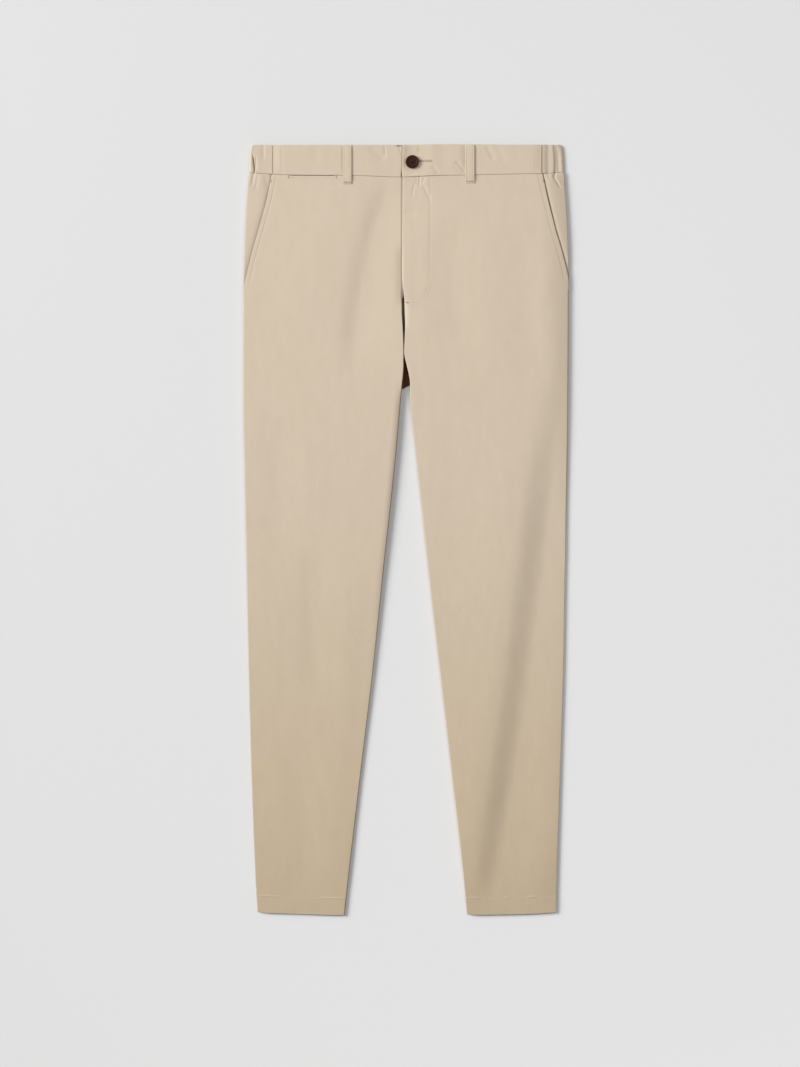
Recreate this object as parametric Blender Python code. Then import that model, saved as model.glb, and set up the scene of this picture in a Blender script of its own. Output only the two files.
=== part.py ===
"""Chino trousers laid flat, face up, with elasticated sides and a fastened waist button.

Units are metres. +X is the wearer's left, +Y runs up to the waist, and +Z comes up out of the
front. The surface that the trousers lie on is z = 0, and the origin is the middle of their outline.

The back lies flat on that surface. The front lies on the back as a thin, low arch, which rolls
down to the side seams and the inseams. lay_height() gives the height of its outer face, and every
piece that lies on or under the front takes its own height from it.
"""

import math
from collections import namedtuple

import bmesh
import bpy
import numpy as np

# Cloth
CLOTH = 0.0012  # wall of one layer
SEAM_GAP = 0.0003  # between two pieces at a seam
LAY_GAP = 0.0005  # between two pieces that lie on each other
FACING_CLOTH = 0.0012  # wall of a pocket facing
BAND_CLOTH = 0.0020  # wall of the waistband, which is folded double

# How the front lies on the back
CROWN = 0.0080  # usual height of the front's outer face
MOST_HEIGHT = 0.0090  # of the front's highest ridge
EDGE_HEIGHT = 2 * CLOTH + SEAM_GAP  # front on back at a side seam
WAIST_DROP = 0.0003  # the front lies lower towards the waist
WAIST_DROP_LENGTH = 0.110
RIGHT_HEM_DROP = 0.0040  # and each leg lies lower towards its hem, between these levels
LEFT_HEM_DROP = 0.0004
HEM_DROP_Y = (-0.350, 0.180)

# How far in from its edges each leg's front still curves down. Both legs are pressed crisp along
# their edge on the wearer's right. They roll down softly to the other edge, and a share of that
# roll is steep. The share grows up the leg from low to high, between two levels.
CRISP_ROLL = 0.0012
SoftEdge = namedtuple("SoftEdge", "radius steep_radius low_share high_share")
SIDE_EDGE = SoftEdge(0.036, 0.0012, 0.15, 0.25)
INSEAM_EDGE = SoftEdge(0.0075, 0.0012, 0.66, 0.60)
STEEP_Y = (-0.150, 0.080)
CLEFT_TOP_Y = 0.306  # the fronts part below the fly
CLEFT_FULL_Y = 0.255
CRISP_INSEAM_Y = (0.165, 0.200)  # the right inseam's edge grows crisp too, up to the crotch
HEM_FALL_LENGTH = 0.080  # over which each front comes down to its hem
HEM_FALL_SHARE = 0.88

# Waistband
BAND_PROUD = 0.0004  # the band's outer face over the fronts
BAND_EDGE_ROUND = 0.0030
RIGHT_ELASTIC_X = 0.1772  # how far out each front band meets its elastic piece
LEFT_ELASTIC_X = 0.1800
ELASTIC_BACK_X = 0.1600  # where the elastic piece meets the back band
RIGHT_TURN = 0.0020  # half-width of its turn round the side
LEFT_TURN = 0.0040
LEFT_FALL = 0.0036  # how far the left elastic piece slopes down to its turn, from this far out
LEFT_FALL_X = 0.1950
TURN_POINTS = 8
GATHER_POINTS = 26
UNDERLAP_END_X = 0.0310
OVERLAP_LIFT = 0.0007  # of the overlap over the rest of the band
OVERLAP_LIFT_LENGTH = 0.020
OVERLAP_LEAN_LENGTH = 0.010  # how far in from its edge the overlap's points follow that edge
BAND_DIP = BAND_CLOTH + LAY_GAP - OVERLAP_LIFT  # how far the underlap goes down to lie under it
BAND_DIP_LENGTH = 0.0040
FLY_X = 0.0057  # the overlap ends this far to the wearer's right of the middle

# Fly
FLY_UNDERLAP = 0.0100  # how far the right front runs on under the left one
FLY_DIP_LENGTH = 0.0028
FLY_DIP_SPARE = 0.0002
FLY_DIP = CLOTH + LAY_GAP + FLY_DIP_SPARE
FLY_END_LENGTH = 0.012  # over which the underlap and its dip begin, at the fly's foot

# On the wearer's left the back shows past the front's side seam by this much, between these levels
BACK_SHOWS = 0.0013
BACK_SHOWS_Y = (-0.060, 0.375)
BACK_SHOWS_ENDS = (0.120, 0.050)  # lengths over which this begins at each end

# Pockets
FACING_UNDERLAP = 0.0120  # how far a facing runs on under the front
RIGHT_FACING_END_Y = 0.3340
LEFT_FACING_END_Y = 0.3410
COIN_SLOT_X = (-0.1565, -0.0926)
COIN_SLOT_OPEN = 0.0012
COIN_SLOT_END = 0.006  # length over which each end of the slot closes
COIN_FACING_X = (-0.1605, -0.0886)
COIN_FACING_Y = (0.4790, 0.4600)

# Belt loops
LOOP_CLOTH = 0.0012
LOOP_RISE = 0.0007  # of its middle over the band
LOOP_ROUND = 0.0010
LOOP_EDGE_SHARE = 0.7  # of its wall at its long edges
LOOP_TOP_INSET = 0.0005  # below the band's top edge
LOOP_END_LENGTH = 0.008  # over which it rises from each tack

# Hem
HEM_DEPTH = 0.0226
HEM_STEP = 0.0004  # the turned hem stands this much proud
HEM_STEP_LENGTH = 0.002
HEM_ROUND = 0.0030
FOLDED_EDGE_DROP = 0.5  # share of its wall by which the cloth rounds down at a folded edge

# Button
BUTTON_PLACE = (0.0081, 0.4883)
BUTTON_RADIUS = 0.0089
BUTTON_THICKNESS = 0.0023
BUTTON_HOLE_RADIUS = 0.0009
BUTTON_HOLE_OFFSET = 0.0019
BUTTON_SIDES = 40
BUTTONHOLE_X = (0.0070, 0.0305)
BUTTONHOLE_WIDTH = 0.0008
BUTTONHOLE_Y = 0.4897
HOLE_SIDES = 14
SHARP_ANGLE = math.radians(40)  # edges sharper than this aren't shaded smooth

# Profile of the button from its middle underneath, round its rim, to its middle on top. Radius is a
# share of its radius, and height a share of its thickness.
Turn = namedtuple("Turn", "radius height")
BUTTON_PROFILE = (
    Turn(0.0, 0.0),
    Turn(0.80, 0.0),
    Turn(1.0, 0.45),
    Turn(0.97, 0.80),
    Turn(0.86, 1.0),
    Turn(0.74, 0.94),
    Turn(0.63, 0.69),
    Turn(0.0, 0.69),
)

# Colours
TAN = (0.56, 0.46, 0.34, 1.0)
TAN_SHADED = (0.42, 0.33, 0.24, 1.0)
BROWN_HORN = (0.060, 0.030, 0.020, 1.0)

# Where the rows and columns of points are. Steps are how far in from an edge the outer columns are.
PANEL_TOP_Y = 0.4710
HEM_Y = -0.5110
FRONT_LEVELS = np.concatenate(
    [
        np.linspace(PANEL_TOP_Y, CLEFT_TOP_Y, 12),
        np.linspace(0.2960, 0.1860, 10),
        np.linspace(0.1640, -0.4700, 26),
        (HEM_Y + HEM_DEPTH, HEM_Y + HEM_DEPTH - 0.0015, HEM_Y + HEM_ROUND, HEM_Y),
    ]
)
FRONT_STEPS = np.array((0.0, 0.0012, 0.0040, 0.0090))
FRONT_MIDDLE = 13
BACK_STEPS = np.array((0.0, 0.0015))
FOOT_STEPS = np.array((0.0006, 0.0015))  # the underside's edges are a little inside the top's
BACK_MIDDLE = 8
FACING_STEPS = np.array((0.0, 0.0012, 0.0040))
FACING_MIDDLE = 4
RISE_ROWS = 12  # of a back panel, down to its crotch, and of a facing
LEG_ROWS = 22  # of a back panel, from the crotch down
BAND_STEPS = np.array((0.0, 0.0008, 0.0025))
FRONT_BAND_COLUMNS = 14
BACK_BAND_COLUMNS = 18
OVERLAP_STEPS = (0.0, 0.0012, 0.0097)  # in from the overlap's edge, before its even columns
LOOP_ROWS = 12
END_REACH = 0.030  # how far from a panel's ends its rows follow them
CROTCH_STEP = 0.0010  # between the last level at the back seam and the first at the inseam
CROTCH_REACH = 0.010  # from the crotch to the next even level above it, and three times it below

# Columns of the tables
Level = namedtuple("Level", "y right left")
Place = namedtuple("Place", "x y")
EdgePlace = namedtuple("EdgePlace", "y x")
Fold = namedtuple("Fold", "start_x start_y end_x end_y bow width_right width_left height")
Gather = namedtuple("Gather", "x half_width depth")
Loop = namedtuple("Loop", "side low_x high_x low_y")
Side = namedtuple(
    "Side", "name outward seam inner pocket crotch_y gathers turn fall elastic_x facing_end_y"
)

# x of the two side seams at each level
SIDE_SEAMS = (
    Level(0.5125, -0.2030, 0.2042),
    Level(0.5080, -0.2066, 0.2072),
    Level(0.4970, -0.2082, 0.2086),
    Level(0.4700, -0.2083, 0.2099),
    Level(0.4520, -0.2107, 0.2112),
    Level(0.3990, -0.2137, 0.2144),
    Level(0.3190, -0.2161, 0.2164),
    Level(0.1860, -0.2164, 0.2157),
    Level(0.0800, -0.2147, 0.2145),
    Level(-0.0540, -0.2119, 0.2112),
    Level(-0.1870, -0.2091, 0.2089),
    Level(-0.3200, -0.2056, 0.2049),
    Level(-0.4530, -0.2006, 0.2006),
    Level(-0.5130, -0.1973, 0.1989),
)

# x of the two inseams at each level, from the crotch down
INSEAMS = (
    Level(0.1860, -0.0060, 0.0050),
    Level(0.1060, -0.0129, 0.0122),
    Level(0.0260, -0.0211, 0.0209),
    Level(-0.0540, -0.0301, 0.0295),
    Level(-0.1870, -0.0440, 0.0448),
    Level(-0.3200, -0.0600, 0.0602),
    Level(-0.4530, -0.0755, 0.0755),
    Level(-0.5130, -0.0822, 0.0812),
)

# x of the inner edge of each front from the waist seam to the crotch; the left one is the fly's edge
FRONT_RISE = (
    Level(0.4760, -0.0050, -0.0046),
    Level(0.3990, -0.0054, -0.0051),
    Level(0.3390, -0.0054, -0.0049),
    Level(0.3250, -0.0053, -0.0040),
    Level(0.3040, -0.0055, -0.0023),
    Level(0.2920, -0.0055, -0.0021),
    Level(0.2720, -0.0044, -0.0016),
    Level(0.2540, -0.0035, -0.0021),
    Level(0.2360, -0.0032, -0.0028),
    Level(0.2180, -0.0033, 0.0008),
    Level(0.2060, -0.0040, 0.0036),
    Level(0.1940, -0.0053, 0.0052),
)

# y of the slanted pocket edges and their x, down to the side seam
POCKET_EDGES = (
    Level(0.4760, -0.1776, 0.1797),
    Level(0.4630, -0.1800, 0.1827),
    Level(0.4370, -0.1855, 0.1888),
    Level(0.4180, -0.1905, 0.1935),
    Level(0.3980, -0.1961, 0.1986),
    Level(0.3770, -0.2022, 0.2050),
    Level(0.3530, -0.2084, 0.2116),
    Level(0.3350, -0.2127, 0.2156),
    Level(0.3190, -0.2161, 0.2164),
)

# The centre back seam, and the level at which each back panel turns into its inseam
BACK_SEAM_X = -0.0040
RIGHT_CROTCH_Y = 0.1880
LEFT_CROTCH_Y = 0.1945
CROTCH_POINT_Y = 0.1872  # the left back's crotch edge slants down to this at the back seam

WAIST_SEAM = (
    Place(-0.2100, 0.4744),
    Place(-0.1545, 0.4713),
    Place(-0.0721, 0.4706),
    Place(-0.0056, 0.4685),
    Place(0.0303, 0.4700),
    Place(0.0782, 0.4712),
    Place(0.1820, 0.4734),
    Place(0.2100, 0.4757),
)

BAND_TOP = (
    Place(-0.2100, 0.5110),
    Place(-0.0056, 0.5112),
    Place(0.0600, 0.5120),
    Place(0.1500, 0.5112),
    Place(0.2100, 0.5120),
)

HEMS = (
    Place(-0.1990, -0.5076),
    Place(-0.1851, -0.5096),
    Place(-0.1426, -0.5110),
    Place(-0.0833, -0.5127),
    Place(0.0818, -0.5108),
    Place(0.0915, -0.5122),
    Place(0.1553, -0.5112),
    Place(0.1986, -0.5090),
)

BELT_LOOPS = (Loop("right", -0.0841, -0.0724, 0.4592), Loop("left", 0.0786, 0.0908, 0.4604))

# The edge of the waistband's overlap, from its top down
OVERLAP_EDGE = (
    EdgePlace(0.5120, -0.0046),
    EdgePlace(0.4850, -0.0051),
    EdgePlace(0.4680, -0.0054),
)

# The hollows between the gathers of each elastic piece, by their distance from the middle
RIGHT_GATHERS = (
    Gather(0.1825, 0.0015, 0.0005),
    Gather(0.1892, 0.0017, 0.0006),
    Gather(0.1955, 0.0014, 0.0007),
    Gather(0.2018, 0.0013, 0.0010),
)
LEFT_GATHERS = (
    Gather(0.1866, 0.0022, 0.0008),
    Gather(0.1932, 0.0014, 0.0004),
    Gather(0.1988, 0.0015, 0.0011),
)

# The largest folds, each a trough or a ridge along a bowed line. Its width is told on the wearer's
# right of the line and on the left of it, because most folds are steeper on one side.
FOLDS = (
    Fold(-0.004, 0.500, -0.070, 0.180, -0.0170, 0.016, 0.040, -0.0021),
    Fold(-0.120, 0.440, -0.150, 0.240, 0.0060, 0.030, 0.030, 0.0004),
    Fold(-0.122, 0.000, -0.118, -0.240, -0.0050, 0.016, 0.026, -0.0009),
    Fold(-0.165, 0.170, -0.180, -0.060, 0.0030, 0.020, 0.024, -0.0006),
    Fold(-0.040, 0.000, -0.076, -0.500, 0.0000, 0.016, 0.030, -0.0006),
    Fold(-0.150, -0.270, -0.135, -0.500, 0.0040, 0.018, 0.022, -0.0007),
    Fold(0.216, 0.250, 0.094, -0.620, 0.0110, 0.025, 0.110, -0.0045),
    Fold(0.176, 0.250, 0.070, -0.600, 0.0060, 0.060, 0.018, 0.0013),
    Fold(0.060, 0.440, 0.085, 0.200, -0.0070, 0.026, 0.022, -0.0008),
    Fold(0.150, 0.420, 0.168, 0.160, 0.0040, 0.024, 0.020, -0.0006),
)
FOLD_FADE = 0.3  # share of a fold's length over which it rises at each end


def smooth_line(points):
    """A smooth curve through (at, value) points, which stays between neighbouring points."""
    at, value = np.array(sorted(points)).T
    step = np.diff(at)
    slope = np.diff(value) / step
    before, after = slope[:-1], slope[1:]
    turns = before * after <= 0
    middle = np.where(turns, 0, 2 * before * after / np.where(turns, 1, before + after))
    tangent = np.concatenate([slope[:1], middle, slope[-1:]])

    def curve(where):
        where = np.clip(where, at[0], at[-1])
        i = np.clip(np.searchsorted(at, where) - 1, 0, len(step) - 1)
        t = (where - at[i]) / step[i]
        bend = step[i] * t * (1 - t) * (tangent[i] * (1 - t) - tangent[i + 1] * t)
        return value[i] * (1 + 2 * t) * (1 - t) ** 2 + value[i + 1] * t**2 * (3 - 2 * t) + bend

    return curve


def column(table, name):
    """The smooth line of one column of a table of levels."""
    return smooth_line([(row.y, getattr(row, name)) for row in table])


def make_side(name, outward, *details):
    """One side of the wearer. Outward is the sign of x away from the middle."""
    seam, inner, pocket = (
        column(table, name) for table in (SIDE_SEAMS, FRONT_RISE + INSEAMS, POCKET_EDGES)
    )
    return Side(name, outward, seam, inner, pocket, *details)


RIGHT = make_side(
    "right", -1, RIGHT_CROTCH_Y, RIGHT_GATHERS, RIGHT_TURN, 0.0, RIGHT_ELASTIC_X, RIGHT_FACING_END_Y
)
LEFT = make_side(
    "left", 1, LEFT_CROTCH_Y, LEFT_GATHERS, LEFT_TURN, LEFT_FALL, LEFT_ELASTIC_X, LEFT_FACING_END_Y
)
waist_seam = smooth_line(WAIST_SEAM)
band_top = smooth_line(BAND_TOP)
hem_edge = smooth_line(HEMS)
overlap_edge = smooth_line(OVERLAP_EDGE)


def ease(t):
    """0 to 1, smooth at both ends, as t goes from 0 to 1."""
    t = np.clip(t, 0, 1)
    return t * t * (3 - 2 * t)


def roll(distance, radius):
    """0 to 1 on a quarter circle, as the distance from an edge goes from 0 to the radius."""
    t = np.clip(distance / radius, 0, 1)
    return np.sqrt(1 - (1 - t) ** 2)


def soft_roll(distance, y, edge):
    """0 to 1 as the distance from a leg's soft edge grows: a steep part and a slow one."""
    up = ease((y - STEEP_Y[0]) / (STEEP_Y[1] - STEEP_Y[0]))
    share = edge.low_share + (edge.high_share - edge.low_share) * up
    slow = 1 - (1 - np.clip(distance / edge.radius, 0, 1)) ** 2
    return share * roll(distance, edge.steep_radius) + (1 - share) * slow


def fold_height(x, y, fold):
    """How far one fold lifts the front, or lowers it: most along its line, and nothing at its ends."""
    run = np.array([fold.end_x - fold.start_x, fold.end_y - fold.start_y])
    length = math.hypot(*run)
    run = run / length
    along = ((x - fold.start_x) * run[0] + (y - fold.start_y) * run[1]) / length
    to_left = (y - fold.start_y) * run[0] - (x - fold.start_x) * run[1]
    to_left = to_left - 4 * fold.bow * along * (1 - along)
    width = np.where(to_left > 0, fold.width_left, fold.width_right)
    ends = ease(along / FOLD_FADE) * ease((1 - along) / FOLD_FADE)
    return fold.height * ends * np.exp(-((to_left / width) ** 2))


def lay_height(x, y):
    """Height of the front's outer face above the surface that the trousers lie on."""
    at_sides = roll(x - RIGHT.seam(y), CRISP_ROLL) * soft_roll(LEFT.seam(y) - x, y, SIDE_EDGE)
    inseam = RIGHT.inner(y) - x
    crisp = ease((y - CRISP_INSEAM_Y[0]) / (CRISP_INSEAM_Y[1] - CRISP_INSEAM_Y[0]))
    soft = soft_roll(inseam, y, INSEAM_EDGE)
    at_inseams = soft + (roll(inseam, CRISP_ROLL) - soft) * crisp
    at_inseams = np.maximum(at_inseams, roll(x - LEFT.inner(y), CRISP_ROLL))
    cleft = ease((CLEFT_TOP_Y - y) / (CLEFT_TOP_Y - CLEFT_FULL_Y))
    rolled = at_sides * (1 - cleft * (1 - at_inseams))
    waist = ease(1 - (waist_seam(x) - y) / WAIST_DROP_LENGTH)
    hem = ease((HEM_DROP_Y[1] - y) / (HEM_DROP_Y[1] - HEM_DROP_Y[0]))
    hem_drop = np.where(x < BACK_SEAM_X, RIGHT_HEM_DROP, LEFT_HEM_DROP)
    crown = CROWN - WAIST_DROP * waist - hem_drop * hem
    crown = crown + sum(fold_height(x, y, fold) for fold in FOLDS)
    crown = np.clip(crown, EDGE_HEIGHT, MOST_HEIGHT)
    near_hem = np.clip(1 - (y - hem_edge(x)) / HEM_FALL_LENGTH, 0, 1) ** 2
    crown = crown - (crown - EDGE_HEIGHT) * HEM_FALL_SHARE * near_hem
    return EDGE_HEIGHT + (crown - EDGE_HEIGHT) * rolled


def band_height(x):
    """Height of the outer face of the front waistband."""
    seam = waist_seam(x)
    inside = np.clip(x, RIGHT.seam(seam) + CRISP_ROLL, LEFT.seam(seam) - SIDE_EDGE.radius)
    return lay_height(inside, waist_seam(inside)) + BAND_PROUD


def spread(start, end, start_steps, end_steps, middle):
    """Rows of positions from start to end: the steps in from each end, and the rest even."""
    width = (end - start)[:, None]
    room = np.minimum(1, width / (3 * np.maximum(start_steps[..., -1:], end_steps[..., -1:])))
    low = start[:, None] + start_steps * room
    high = end[:, None] - end_steps[..., ::-1] * room
    share = np.linspace(0, 1, middle + 2)[1:-1]
    between = low[:, -1:] + (high[:, :1] - low[:, -1:]) * share
    return np.concatenate([low, between, high], axis=1)


def panel_plan(levels, edges, ends, steps, middle):
    """Plan of a panel, as x and y grids: rows from its top end down to its bottom end.

    Edges are its lines of lowest and highest x, and ends those of highest and lowest y. Steps are
    how far in from each edge its outer columns are.
    """
    start, end = (np.broadcast_to(edge(levels), levels.shape) for edge in edges)
    top, bottom = ends
    level = levels[:, None]
    x = spread(start, end, *steps, middle)
    near_top = ease(1 - (level[0] - level) / END_REACH)
    near_bottom = ease(1 - (level - level[-1]) / END_REACH)
    y = level + near_top * (top(x) - level[0]) + near_bottom * (bottom(x) - level[-1])
    return x, y


def grid(x, y, z):
    return np.stack(np.broadcast_arrays(x, y, z), axis=-1)


def material(name, colour, roughness):
    made = bpy.data.materials.new(name)
    made.use_nodes = True
    shader = made.node_tree.nodes["Principled BSDF"]
    shader.inputs["Base Color"].default_value = colour
    shader.inputs["Roughness"].default_value = roughness
    shader.inputs["Metallic"].default_value = 0.0
    return made


def add_object(name, mesh, colour, roughness=0.9):
    made = bpy.data.objects.new(name, mesh)
    bpy.context.scene.collection.objects.link(made)
    mesh.materials.append(material(name, colour, roughness))
    mesh.shade_smooth()
    mesh.set_sharp_from_angle(angle=SHARP_ANGLE)
    return made


def closed_wall(name, outer, inner, colour=TAN):
    """One closed solid between an outer and an inner grid of points, of the same rows and columns."""
    rows, columns = outer.shape[:2]
    near = np.arange(rows * columns).reshape(rows, columns)
    far = near + rows * columns
    faces = []
    for sheet in (near, far):
        corners = (sheet[:-1, :-1], sheet[1:, :-1], sheet[1:, 1:], sheet[:-1, 1:])
        faces += np.stack(corners, axis=-1).reshape(-1, 4).tolist()
    rims = [(near[0], far[0]), (near[-1], far[-1]), (near[:, 0], far[:, 0]), (near[:, -1], far[:, -1])]
    for edge, opposite in rims:
        corners = (edge[:-1], edge[1:], opposite[1:], opposite[:-1])
        faces += np.stack(corners, axis=-1).tolist()
    mesh = bpy.data.meshes.new(name)
    mesh.from_pydata(np.concatenate([outer.reshape(-1, 3), inner.reshape(-1, 3)]).tolist(), [], faces)
    shape = bmesh.new()
    shape.from_mesh(mesh)
    bmesh.ops.recalc_face_normals(shape, faces=shape.faces)
    shape.to_mesh(mesh)
    shape.free()
    return add_object(name, mesh, colour)


def cut(solid, name, shape):
    """Cuts a bmesh shape, in the solid's own coordinates, out of it. The cutter isn't a part."""
    mesh = bpy.data.meshes.new(name)
    shape.to_mesh(mesh)
    shape.free()
    cutter = bpy.data.objects.new(name, mesh)
    bpy.context.scene.collection.objects.link(cutter)
    cutter.parent = solid
    cutter.hide_render = True
    cutter.display_type = "WIRE"
    boolean = solid.modifiers.new(name, "BOOLEAN")
    boolean.object = cutter
    boolean.operation = "DIFFERENCE"


def in_order(side, outer, inner):
    """What belongs to a panel's outer and inner edge, as lowest x and highest x."""
    return (outer, inner) if side is RIGHT else (inner, outer)


def panel_top(x):
    """The top end of a panel that is sewn to the waistband."""
    return waist_seam(x) - SEAM_GAP


def front_height(x, y):
    """The front's outer face with the step of its turned hem and the round of its bottom fold."""
    from_hem = y - hem_edge(x)
    turned = HEM_STEP * ease((HEM_DEPTH - from_hem) / HEM_STEP_LENGTH)
    rounded = (1 - roll(from_hem, HEM_ROUND)) * CLOTH * FOLDED_EDGE_DROP
    return np.maximum(lay_height(x, y) + turned - rounded, EDGE_HEIGHT)


def back_shows(y):
    """How far the left front's edge lies inside the back's at the side seam."""
    low, high = BACK_SHOWS_Y
    low_length, high_length = BACK_SHOWS_ENDS
    return BACK_SHOWS * ease((y - low) / low_length) * ease((high - y) / high_length)


def coin_slot(x):
    """How far the right front's top edge is left down, so that the coin pocket is open."""
    start, end = COIN_SLOT_X
    return COIN_SLOT_OPEN * ease((x - start) / COIN_SLOT_END) * ease((end - x) / COIN_SLOT_END)


def fly_underlap(y):
    """How far the right front runs on past its own inner edge, under the left front."""
    return FLY_UNDERLAP * ease((y - CLEFT_TOP_Y) / FLY_END_LENGTH)


def make_front(side):
    """One front panel, whose outer edge is the pocket's edge and then the side seam."""
    is_right = side is RIGHT

    def outer_edge(y):
        seam = side.seam(y) if is_right else side.seam(y) - back_shows(y)
        return np.where(y > POCKET_EDGES[-1].y, side.pocket(y), seam)

    def inner_edge(y):
        return side.inner(y) + is_right * fly_underlap(y)

    def top_edge(x):
        return panel_top(x) - is_right * coin_slot(x)

    run_on = np.maximum(fly_underlap(FRONT_LEVELS) - FRONT_STEPS[1], 0)[:, None] * (FRONT_STEPS > 0)
    inner_steps = FRONT_STEPS + is_right * run_on
    edges = in_order(side, outer_edge, inner_edge)
    steps = in_order(side, FRONT_STEPS, inner_steps)
    x, y = panel_plan(FRONT_LEVELS, edges, (top_edge, hem_edge), steps, FRONT_MIDDLE)
    height = front_height(x, y)
    if is_right:
        dip = ease(1 + (x - side.inner(y)) / FLY_DIP_LENGTH)
        dip = dip * ease(1 + (y - CLEFT_TOP_Y) / FLY_END_LENGTH)
        height = np.maximum(height - FLY_DIP * dip, EDGE_HEIGHT)
    closed_wall(f"front_{side.name}_leg", grid(x, y, height), grid(x, y, height - CLOTH))


def make_back(side):
    """One back panel, flat on the surface, from the centre back seam to the side seam."""

    def inner_edge(y):
        centre = BACK_SEAM_X + side.outward * SEAM_GAP / 2
        return np.where(y > side.crotch_y - CROTCH_STEP / 2, centre, side.inner(y))

    levels = np.concatenate(
        [
            np.linspace(PANEL_TOP_Y, side.crotch_y + CROTCH_REACH, RISE_ROWS),
            (side.crotch_y, side.crotch_y - CROTCH_STEP),
            np.linspace(side.crotch_y - 3 * CROTCH_REACH, HEM_Y + HEM_DEPTH, LEG_ROWS),
            (HEM_Y,),
        ]
    )
    edges = in_order(side, side.seam, inner_edge)
    ends = (panel_top, hem_edge)
    x, y = panel_plan(levels, edges, ends, (BACK_STEPS, BACK_STEPS), BACK_MIDDLE)
    foot_x, foot_y = panel_plan(levels, edges, ends, (FOOT_STEPS, FOOT_STEPS), BACK_MIDDLE)
    if side is LEFT:
        point = (list(levels).index(side.crotch_y), 0)
        y[point] = foot_y[point] = CROTCH_POINT_Y
    closed_wall(f"back_{side.name}_leg", grid(x, y, CLOTH), grid(foot_x, foot_y, 0.0))


def band_shares(x):
    """Shares from a band's bottom edge up to its top edge, close together where the edges round."""
    depth = np.mean(band_top(x) - waist_seam(x))
    near = BAND_STEPS / depth
    return np.concatenate([near, [0.5], 1 - near[::-1]])


def edge_round(share, depth):
    """How far a band's outer face drops at its folded edges."""
    from_edge = np.minimum(share, 1 - share) * depth
    return (1 - roll(from_edge, BAND_EDGE_ROUND)) * BAND_CLOTH * FOLDED_EDGE_DROP


def band_walls(x, height):
    """The outer and inner grids of a front band between the waist seam and its top edge."""
    bottom = waist_seam(x)
    top = band_top(x)
    share = band_shares(x)[:, None]
    y = bottom + (top - bottom) * share
    rounded = height - edge_round(share, top - bottom)
    return grid(x, y, rounded), grid(x, y, height - BAND_CLOTH)


def make_underlap_band():
    """The right front band, from its elastic piece to its end under the left one."""
    dip_end = min(row.x for row in OVERLAP_EDGE) - SEAM_GAP
    dip_start = dip_end - BAND_DIP_LENGTH
    run = np.linspace(-RIGHT_ELASTIC_X + SEAM_GAP, dip_start, FRONT_BAND_COLUMNS)
    x = np.concatenate([run, [dip_end, 0.0, UNDERLAP_END_X / 2, UNDERLAP_END_X]])
    height = band_height(x) - BAND_DIP * ease((x - dip_start) / BAND_DIP_LENGTH)
    closed_wall("waistband_right_front", *band_walls(x, height))


def make_overlap_band():
    """The left front band, from its end over the right one to its elastic piece."""
    start = -FLY_X + np.array(OVERLAP_STEPS)
    run = np.linspace(start[-1], LEFT_ELASTIC_X - SEAM_GAP, FRONT_BAND_COLUMNS + 1)
    x = np.concatenate([start[:-1], run])
    lift = OVERLAP_LIFT * (1 - ease((x - UNDERLAP_END_X) / OVERLAP_LIFT_LENGTH))
    outer, inner = band_walls(x, band_height(x) + lift)
    for wall in (outer, inner):
        near_edge = 1 - ease((wall[..., 0] + FLY_X) / OVERLAP_LEAN_LENGTH)
        wall[..., 0] += (overlap_edge(wall[..., 1]) + FLY_X) * near_edge
    cut_buttonhole(closed_wall("waistband_left_front", outer, inner))


def cut_buttonhole(band):
    """Cuts the slit through the overlap, under the button and on past its edge."""
    start, end = BUTTONHOLE_X
    shape = bmesh.new()
    bmesh.ops.create_cube(shape, size=1.0)
    bmesh.ops.scale(shape, verts=shape.verts, vec=(end - start, BUTTONHOLE_WIDTH, 10 * BAND_CLOTH))
    bmesh.ops.translate(shape, verts=shape.verts, vec=((start + end) / 2, BUTTONHOLE_Y, 0))
    cut(band, "buttonhole", shape)


def make_back_band():
    x = np.linspace(-ELASTIC_BACK_X + SEAM_GAP, ELASTIC_BACK_X - SEAM_GAP, BACK_BAND_COLUMNS)
    upper, _ = band_walls(x, band_height(x))
    lower = upper.copy()
    upper[..., 2] = BAND_CLOTH
    lower[..., 2] = 0.0
    closed_wall("waistband_back", upper, lower)


def make_elastic(side):
    """The gathered piece from the front band, round the side, to the back band underneath."""
    shares = band_shares(side.outward * side.elastic_x)
    sections = np.array([elastic_section(side, share) for share in shares])
    closed_wall(f"waistband_{side.name}_elastic", sections[:, 0], sections[:, 1])


def elastic_section(side, share):
    """The piece's outer and inner points at one share of its depth, from the front band round."""
    start_x = side.elastic_x + SEAM_GAP / 2
    start = side.outward * start_x
    depth = band_top(start) - waist_seam(start)
    turn_x = abs(side.seam(waist_seam(start) + depth * share)) - side.turn
    height = band_height(start)
    upper = np.linspace(start_x, turn_x, GATHER_POINTS)
    hollows = sum(row.depth * np.exp(-(((upper - row.x) / row.half_width) ** 2)) for row in side.gathers)
    fall = side.fall * np.clip((upper - LEFT_FALL_X) / (turn_x - LEFT_FALL_X), 0, 1)
    angles = np.linspace(math.pi / 2, -math.pi / 2, TURN_POINTS + 1)[1:]
    under = [ELASTIC_BACK_X + SEAM_GAP / 2]

    def path(inset, drop):
        low, high = inset, height - inset - side.fall
        middle, reach = (low + high) / 2, (high - low) / 2
        turn = turn_x + (side.turn - inset) * np.cos(angles)
        x = side.outward * np.concatenate([upper, turn, under])
        y = waist_seam(x) + (band_top(x) - waist_seam(x)) * share
        on_top = height - inset - fall - hollows
        z = np.concatenate([on_top, middle + reach * np.sin(angles), [low]])
        return grid(x, y, z - drop * (z > middle))

    return path(0.0, edge_round(share, depth)), path(BAND_CLOTH, 0.0)


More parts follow.
